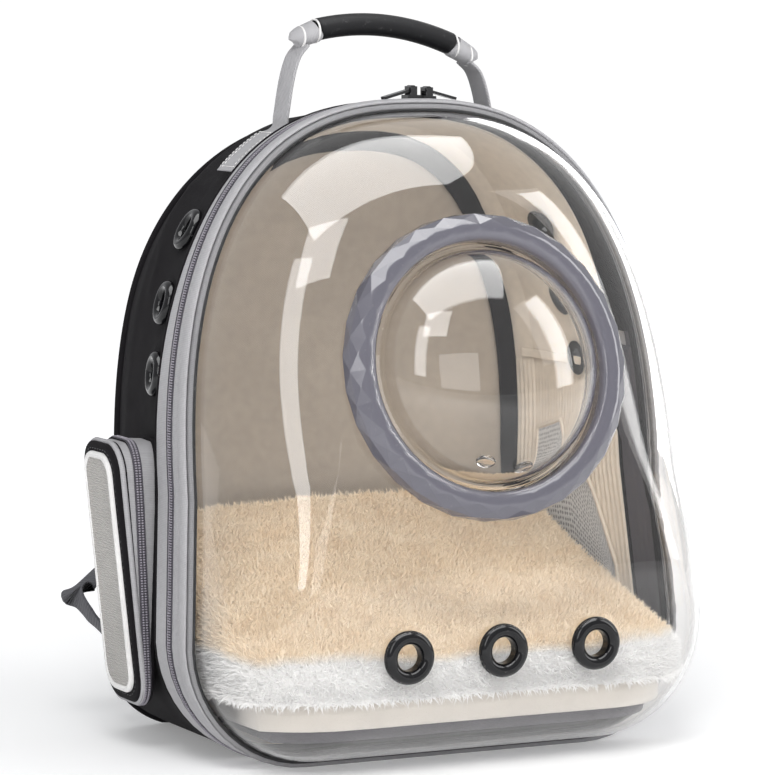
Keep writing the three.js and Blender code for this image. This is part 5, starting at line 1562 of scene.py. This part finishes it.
def layer_plan(height, half_width):
    """Plan of a layer: its front edge follows the inside of the shell, its rear edge the back"""
    clearance, wall = SHELL_WALL + 3, BODY_WALL + 1.6 + 3 + 5.2
    x = np.linspace(-1, 1, 61) * half_width * 0.96
    front = np.stack([x, shell_y(x, np.full(61, height - clearance)) + clearance], 1)
    rear_y = BODY_BACK - wall
    r = LAYER_CORNER
    side = np.linspace(front[0, 1], rear_y - r, 26)[1:]
    turn = np.linspace(0, math.pi / 2, 8)[1:]
    corner = np.stack([half_width - r + r * np.cos(turn), rear_y - r + r * np.sin(turn)], 1)
    rear = np.stack([np.linspace(half_width - r, -half_width + r, 40)[1:-1], np.full(38, rear_y)], 1)
    right = np.stack([np.full(25, half_width), side], 1)
    return np.concatenate([front, right, corner, rear, corner[::-1] * [-1, 1], right[::-1] * [-1, 1]])


def layer_half_width(z):
    inside = BODY_WALL + 1.6 + 0.3 + 1.2
    radius = RIM_CORNER - 9 - inside
    corner_top = BODY_FOOT + inside + radius
    widest = RIM_HALF_WIDTH - 9 - inside + RIM_TAPER * (RIM_SPRING - corner_top)
    return widest - radius + math.sqrt(radius**2 - max(corner_top - z, 0) ** 2)


class MakeMat(bpy.types.Operator):
    """Plush mat with a white edge, its looped base and the floor board"""

    bl_idname = "carrier.make_mat"
    bl_label = "Mat and floor"

    def layer(self, name, plan, foot, top, material, rings, fluff=None):
        middle = np.array([0, (BODY_BACK - SHELL_DEPTH) / 2])
        steps = np.concatenate([np.linspace(0, 0.16, 12), np.linspace(0.175, 0.97, 56), [0.9999]])
        share = np.interp(steps, [r[0] for r in rings[1:]], [r[1] for r in rings[1:]])
        under, upper = [], []
        for s in (0.9999, 0.6, 0.3, 0.02, 0):
            p = lerp(plan, middle, s)
            under.append(np.stack([*p.T, foot(*p.T)], 1))
        for s, h in zip(steps, share):
            p = lerp(plan, middle, s)
            low, high = foot(*p.T), top(*p.T)
            upper.append(np.stack([*p.T, lerp(low, high, h)], 1))
        side_rows = [lerp(under[-1], upper[0], t) for t in (0.15, 0.3, 0.5, 0.7, 0.85)]
        rows = np.array(under + side_rows + upper)
        if fluff:
            rows = fluff(rows, len(under))
        return skin(name, rows, material, crease=None if fluff else 50)

    def execute(self, context):
        def board_foot(x, y):
            return lay_z(y, FLOOR_HEIGHT)

        def board_top(x, y):
            return board_foot(x, y) + BOARD_THICKNESS

        def base_foot(x, y):
            return board_top(x, y) + LAYER_GAP

        def base_top(x, y):
            return base_foot(x, y) + BASE_THICKNESS

        def mat_foot(x, y):
            return base_top(x, y) + LAYER_GAP

        def mat_top(x, y):
            share = np.clip((y + SHELL_DEPTH) / (BODY_BACK + SHELL_DEPTH), 0, 1)
            crown = 12 * (x / RIM_HALF_WIDTH) ** 2
            return mat_foot(x, y) + lerp(*MAT_THICKNESS, share**1.15) - crown

        lowest = float(board_foot(0, BODY_BACK))
        round_edge = [(1, 0), (0, 0.62), (0.02, 0.8), (0.05, 0.93), (0.1, 0.985), (0.16, 1), (1, 1)]
        flat_edge = [(1, 0), (0, 0.9), (0.01, 0.97), (0.02, 1), (1, 1)]
        rises = (0, BOARD_THICKNESS, BOARD_THICKNESS + BASE_THICKNESS)
        plans = [layer_plan(FLOOR_HEIGHT + up, layer_half_width(lowest + up)) for up in rises]
        cover = material_of("dark tape")
        board = self.layer("floor_board_cover", plans[0], board_foot, board_top, cover, flat_edge)
        dress(board, nodes=["floor_board"])

        def looped(rows, under):
            flat = rows.reshape(-1, 3)
            index = np.arange(len(flat)) // rows.shape[1]
            loops = (0.7 * wander(flat, 6, 1.0) + 0.8 * wander(flat, 30, 2.0)) * (index >= under)
            flat = flat + loops[:, None] * [0, 0, 1]
            out = away_from(flat, [1, 1, 0], [0, 50, 0])
            low = (index >= under) & (index < under + EDGE_ROWS)
            return (flat + out * ((0.9 * wander(flat, 5, 3.0) - 0.3) * low)[:, None]).reshape(rows.shape)

        terry = material_of("terry")
        base = self.layer("terry_base", plans[1], base_foot, base_top, terry, round_edge, looped)
        dress(base, nodes=["mat_base"])

        def fluffed(rows, under):
            flat = rows.reshape(-1, 3)
            index = np.arange(len(flat)) // rows.shape[1]
            out = away_from(flat, [1, 1, 0], [0, 50, 0])
            edge = ((index >= under) & (index < under + EDGE_ROWS)).astype(float)
            top = (index >= under + 3).astype(float)
            broad = 5.5 * wander(flat * [1, 1, 0.2], 85, 2.2) + 2.2 * wander(flat, 32, 6.0)
            clumps = 1.1 * wander(flat, 13, 9.0) + 0.7 * wander(flat, 6.5, 4.0)
            scallop = 1.6 * wander(flat * [1, 1, 0.4], 24, 7.5)
            fade = ease((index - under - 3) / 14)
            lift = top * fade * (broad - 3.0) + top * (clumps - 2.5)
            flat = flat + lift[:, None] * [0, 0, 1] + out * (edge * (scallop + clumps - 2.6))[:, None]
            return flat.reshape(rows.shape)

        pile = material_of("pile")
        mat = self.layer("plush_mat", plans[2], mat_foot, mat_top, pile, round_edge, fluffed)
        length = look().pile_length / MM
        spike = [(-0.5, -0.3, -0.6), (0.5, -0.3, -0.6), (0, 0.6, -0.6), (0.5, 0.2, length)]
        tuft = small_shape("tuft", spike, [(0, 2, 1), (0, 1, 3), (1, 2, 3), (2, 0, 3)])
        values = {"Shape": tuft, "Density": look().pile_density, "Lean": 0.85, "Lowest": -0.6}
        values |= {"Seed": look().seed, "Material": pile}
        run_tree(mat, "tufts", values)
        bpy.data.objects.remove(tuft)
        dress(mat, nodes=["mat_pad"])
        return {"FINISHED"}


# Handle, straps and sliders


class MakeHandle(bpy.types.Operator):
    """Arched rubber grip between folded collars, on twill webbing with sewn patches"""

    bl_idname = "carrier.make_handle"
    bl_label = "Top handle"

    y = rim_y(RIM_TOP) + 42

    def grip_z(self, x):
        share = x / GRIP_HALF_LENGTH
        return GRIP_HEIGHT - 5 * x / GRIP_HALF_LENGTH + 3.5 - 7.5 * share**2

    def execute(self, context):
        x = np.concatenate([[-49, -48.6, -47.6], np.linspace(-46, 46, 30), [47.6, 48.6, 49]])
        scale = np.concatenate([[0.8, 0.92, 1], np.ones(30), [1, 0.92, 0.8]])
        path = np.stack([x, np.full(len(x), self.y), self.grip_z(x)], 1)
        grip = self.bar("handle_rubber_grip", path, 7.3, scale, material_of("grip"))
        dress(grip, nodes=["handle_grip"])
        for name, side in SIDES:
            self.collar(name, side)
            self.leg(name, side)
        return {"FINISHED"}

    def bar(self, name, path, radius, scale, material, flat=1.25, sides=28):
        turns = np.arange(sides) * 2 * math.pi / sides
        section = np.stack([flat * np.cos(turns), np.sin(turns)], 1) * radius
        rows = carry(path, section, *frames_along(path, (0, 1, 0)), scale, scale)
        return skin(name, rows, material, crease=50)

    def collar(self, name, side):
        """Grey cloth folded round the end of the grip, with a raised white edge"""
        x = side * np.array([49.4, 49.8, 50.6, 54, 58, 61.5, 64.2, 65.2, 65.4])
        scale = [0.9, 1.06, 1.12, 1.08, 1.04, 1.0, 0.86, 0.62, 0.5]
        path = np.stack([x, np.full(9, self.y), self.grip_z(x) - 0.4 * np.arange(9)], 1)
        collar = self.bar("collar_" + name, path, 6.6, scale, material_of("tape"))
        dress(collar, nodes=["handle_collar_" + name])
        for k, (at, size) in enumerate(((50.4, 7.4), (60.8, 6.8))):
            middle = np.array([side * at, self.y, float(self.grip_z(side * at)) - (0.6 if k == 0 else 2.0)])
            turns = np.arange(40) * 2 * math.pi / 40
            ring = middle + np.stack([0 * turns, 1.25 * size * np.cos(turns), size * np.sin(turns)], 1)
            edge_name = "collar_edge_%s_%d" % (name, k + 1)
            edge = loop_tube(edge_name, ring, 0.75, material_of("thread"), (1, 0, 0), 6)
            dress(edge)

    def leg(self, name, side):
        share = (self.y - 11.5 - body_front_y(RIM_TOP)) / (back_y(RIM_TOP) - body_front_y(RIM_TOP))
        side_grow, top_grow = body_grow(share)

        def on_arch(x, lift=1.7):
            return [side * x, self.y, float(arch_height(x, side_grow, top_grow)) + lift]

        start = 59.2
        under = float(self.grip_z(side * start)) - 7.4
        bend = on_arch(76)
        path = [[side * start, self.y, under]]
        for a, b in ((0.4, 0.16), (0.68, 0.45), (0.9, 0.85)):
            path.append([side * lerp(start, 76, a), self.y, lerp(under, bend[2], b)])
        path += [bend, on_arch(87), on_arch(98), on_arch(110)]
        path = spline(path, 60)
        webbing = sweep("handle_twill_" + name, path, strip(22, 2.0), (0, 1, 0), material_of("twill"))
        dress(webbing, nodes=["handle_webbing_" + name])
        patch = np.array([on_arch(x, 3.1) for x in np.linspace(80, 114, 16)])
        width = np.interp(np.linspace(0, 1, 16), [0, 0.16, 1], [4, 13.5, 13.5])
        section = np.array(strip(1, 1.1, 0.45))
        across, out = frames_along(patch, (0, 1, 0))
        rows = carry(patch, section, across, out, 2 * width)
        dress(skin("handle_patch_" + name, rows, material_of("tape")))
        paths, outs = [], []
        for inset in (1.8, 5.5):
            keep = slice(2, 15)
            edge = [patch[keep] + across[keep] * (s * (width[keep] - inset))[:, None] for s in (1, -1)]
            loop = np.concatenate([edge[0], edge[1][::-1]])
            normal = np.concatenate([out[keep], out[keep][::-1]])
            normal = normal * np.sign(normal[:, 2:3] + 1e-9)
            paths.append((loop + normal * 0.7, True))
            outs.append(normal)
        stitch = bead_shape("stitch", 2.4, 0.8, 0.6)
        sewn = repeat("handle_stitches_" + name, paths, outs, stitch, 3.3, material_of("thread"))
        dress(sewn)


class MakeStraps(bpy.types.Operator):
    """Padded shoulder straps with bound edges, ladder adjusters and ribbed webbing"""

    bl_idname = "carrier.make_straps"
    bl_label = "Shoulder straps"

    def execute(self, context):
        for name, side in SIDES:
            self.strap(name, side)
        return {"FINISHED"}

    def strap(self, name, side):
        places = []
        for across, behind, height in STRAP_ROWS:
            z = RIM_TOP * height
            y = float(back_y(z)) + BACK_THICKNESS + 0.6 + 6.5 + behind * 27
            places.append((side * across * RIM_HALF_WIDTH, y, z))
        path = spline(places, 70)
        t = np.linspace(0, 1, 70)
        turns = np.linspace(-1, 1, 15)
        crown = 4.1 * (1 - np.abs(turns) ** 3.2) + 1.9
        line = 1 - 0.5 * np.exp(-(((np.abs(turns) - 0.62) / 0.1) ** 2))
        top = np.stack([turns * STRAP_HALF_WIDTH, crown * line], 1)
        section = np.concatenate([top[::-1], np.stack([turns * STRAP_HALF_WIDTH, -crown], 1)])
        across, out = frames_along(path, (1, 0, 0))
        rounded_ends = np.interp(t, [0, 0.02, 0.96, 1], [0.75, 1, 1, 0.55])
        thin_ends = np.interp(t, [0, 0.03, 0.95, 1], [0.5, 1, 1, 0.5])
        rows = carry(path, section, across, out, rounded_ends, thin_ends)
        pad = skin("padded_strap_" + name, rows, material_of("air mesh"), crease=60)
        dress(pad, nodes=["shoulder_strap_" + name])
        edge = [path + across * (s * STRAP_HALF_WIDTH * rounded_ends)[:, None] for s in (1, -1)]
        loop = np.concatenate([edge[0], edge[1][::-1]])
        binding = loop_tube("strap_binding_" + name, loop, 2.3, material_of("binding"), (0, 1, 0.001), 8)
        dress(binding)
        self.adjuster(name, side, path)

    def adjuster(self, name, side, path):
        end = path[-1]
        along = path[-1] - path[-3]
        along /= np.linalg.norm(along)
        across = np.array([1.0, 0, 0]) - along * along[0]
        across /= np.linalg.norm(across)
        out = np.cross(along, across)

        def at(down, wide, high=0.0):
            return end + along * down + across * wide + out * high

        corners = [at(1.8, -15.2), at(1.8, 15.2), at(16.8, 15.2), at(16.8, -15.2)]
        loop = []
        for start, stop in zip(corners, corners[1:] + corners[:1]):
            loop += [lerp(start, stop, s) for s in (0.06, 0.25, 0.5, 0.75, 0.94)]
        black = material_of("gloss black")
        bars = [loop_tube("ladder_frame", loop, 1.9, black, out, 10, 1.15)]
        for down in (6.6, 11.6):
            path = [at(down, w) for w in (-15, -7, 0, 7, 15)]
            bars.append(sweep("ladder_bar", path, rounded(1.7, 10), out, black))
        buckle = join(bars, "ladder_adjuster_" + name)
        dress(buckle, nodes=["strap_adjuster_" + name])
        self.webbing(name, side, at)

    def webbing(self, name, side, at):
        anchor_y, anchor_z = 173, 68
        anchor_x = float(body_half_width(anchor_y - 12.5, anchor_z))
        leave, bow, rear = at(19.0, 0), anchor_x + 14, BODY_BACK + (BACK_THICKNESS + 25) / 2
        fall = leave[2] - anchor_z
        places = [at(12.5, 0, 2.4), leave, at(25, 0)]
        for across, back, down in ((0.45, 0.6, 8), (0.86, 1, 24)):
            x = lerp(abs(leave[0]), bow, across)
            places.append([side * x, lerp(leave[1], rear, back), leave[2] - down])
        for out, forward, height in ((1, 0.3, 0.45), (0.6, 0.7, 0.2), (0, 1, 0)):
            x = anchor_x + lerp(1.4, 14, out)
            places.append([side * x, lerp(rear, anchor_y, forward), anchor_z + fall * height])
        path = spline(places, 80)
        ramp = np.linspace(0, 1, 80)[:, None]
        axis = (1 - ease(ramp * 2.2)) * [1.0, 0, 0] + ease(ramp * 2.2) * [0, 1.0, 0] * side
        belt = sweep("ribbed_webbing_" + name, path, strip(24.5, 2.0), axis, material_of("webbing"))
        dress(belt, nodes=["strap_webbing_" + name])


def join(pieces, name):
    """One piece from several"""
    bm = bmesh.new()
    for piece in pieces:
        bm.from_mesh(piece.data)
    mesh = bpy.data.meshes.new(name)
    bm.to_mesh(mesh)
    bm.free()
    material = pieces[0].data.materials[0]
    for piece in pieces:
        bpy.data.objects.remove(piece)
    return object_of(name, mesh, material, 50)


class MakeSliders(bpy.types.Operator):
    """Lacquered finish for the two zip sliders and their pulls"""

    bl_idname = "carrier.make_sliders"
    bl_label = "Zip sliders"

    def execute(self, context):
        for node in ("zip_slider_left", "zip_slider_right", "zip_pull_left", "zip_pull_right"):
            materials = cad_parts[node].data.materials
            materials.clear()
            materials.append(material_of("lacquer"))
        return {"FINISHED"}


# Panel and registration

STEPS = (
    MakeStage,
    MakeShell,
    MakeWindow,
    MakeRing,
    MakeEyelets,
    MakeRim,
    MakeZip,
    MakeBody,
    MakeLinings,
    MakeBack,
    MakePockets,
    MakeMeshWindows,
    MakeMat,
    MakeHandle,
    MakeStraps,
    MakeSliders,
)


class CarrierPanel(bpy.types.Panel):
    """Sizes, colours and the steps in their order"""

    bl_idname = "VIEW3D_PT_carrier"
    bl_label = "Bubble Pet Carrier"
    bl_space_type = "VIEW_3D"
    bl_region_type = "UI"
    bl_category = "Carrier"

    def draw(self, context):
        column = self.layout.column()
        for key in CarrierLook.__annotations__:
            column.prop(context.scene.carrier_look, key)
        for step in STEPS:
            column.operator(step.bl_idname)


CLASSES = (CarrierLook, *STEPS, CarrierPanel)


def register():
    for cls in CLASSES:
        bpy.utils.register_class(cls)
    bpy.types.Scene.carrier_look = PointerProperty(type=CarrierLook)


def unregister():
    del bpy.types.Scene.carrier_look
    for cls in reversed(CLASSES):
        bpy.utils.unregister_class(cls)


def main():
    register()
    for step in STEPS:
        group, name = step.bl_idname.split(".")
        getattr(getattr(bpy.ops, group), name)()


if __name__ == "__main__":
    main()
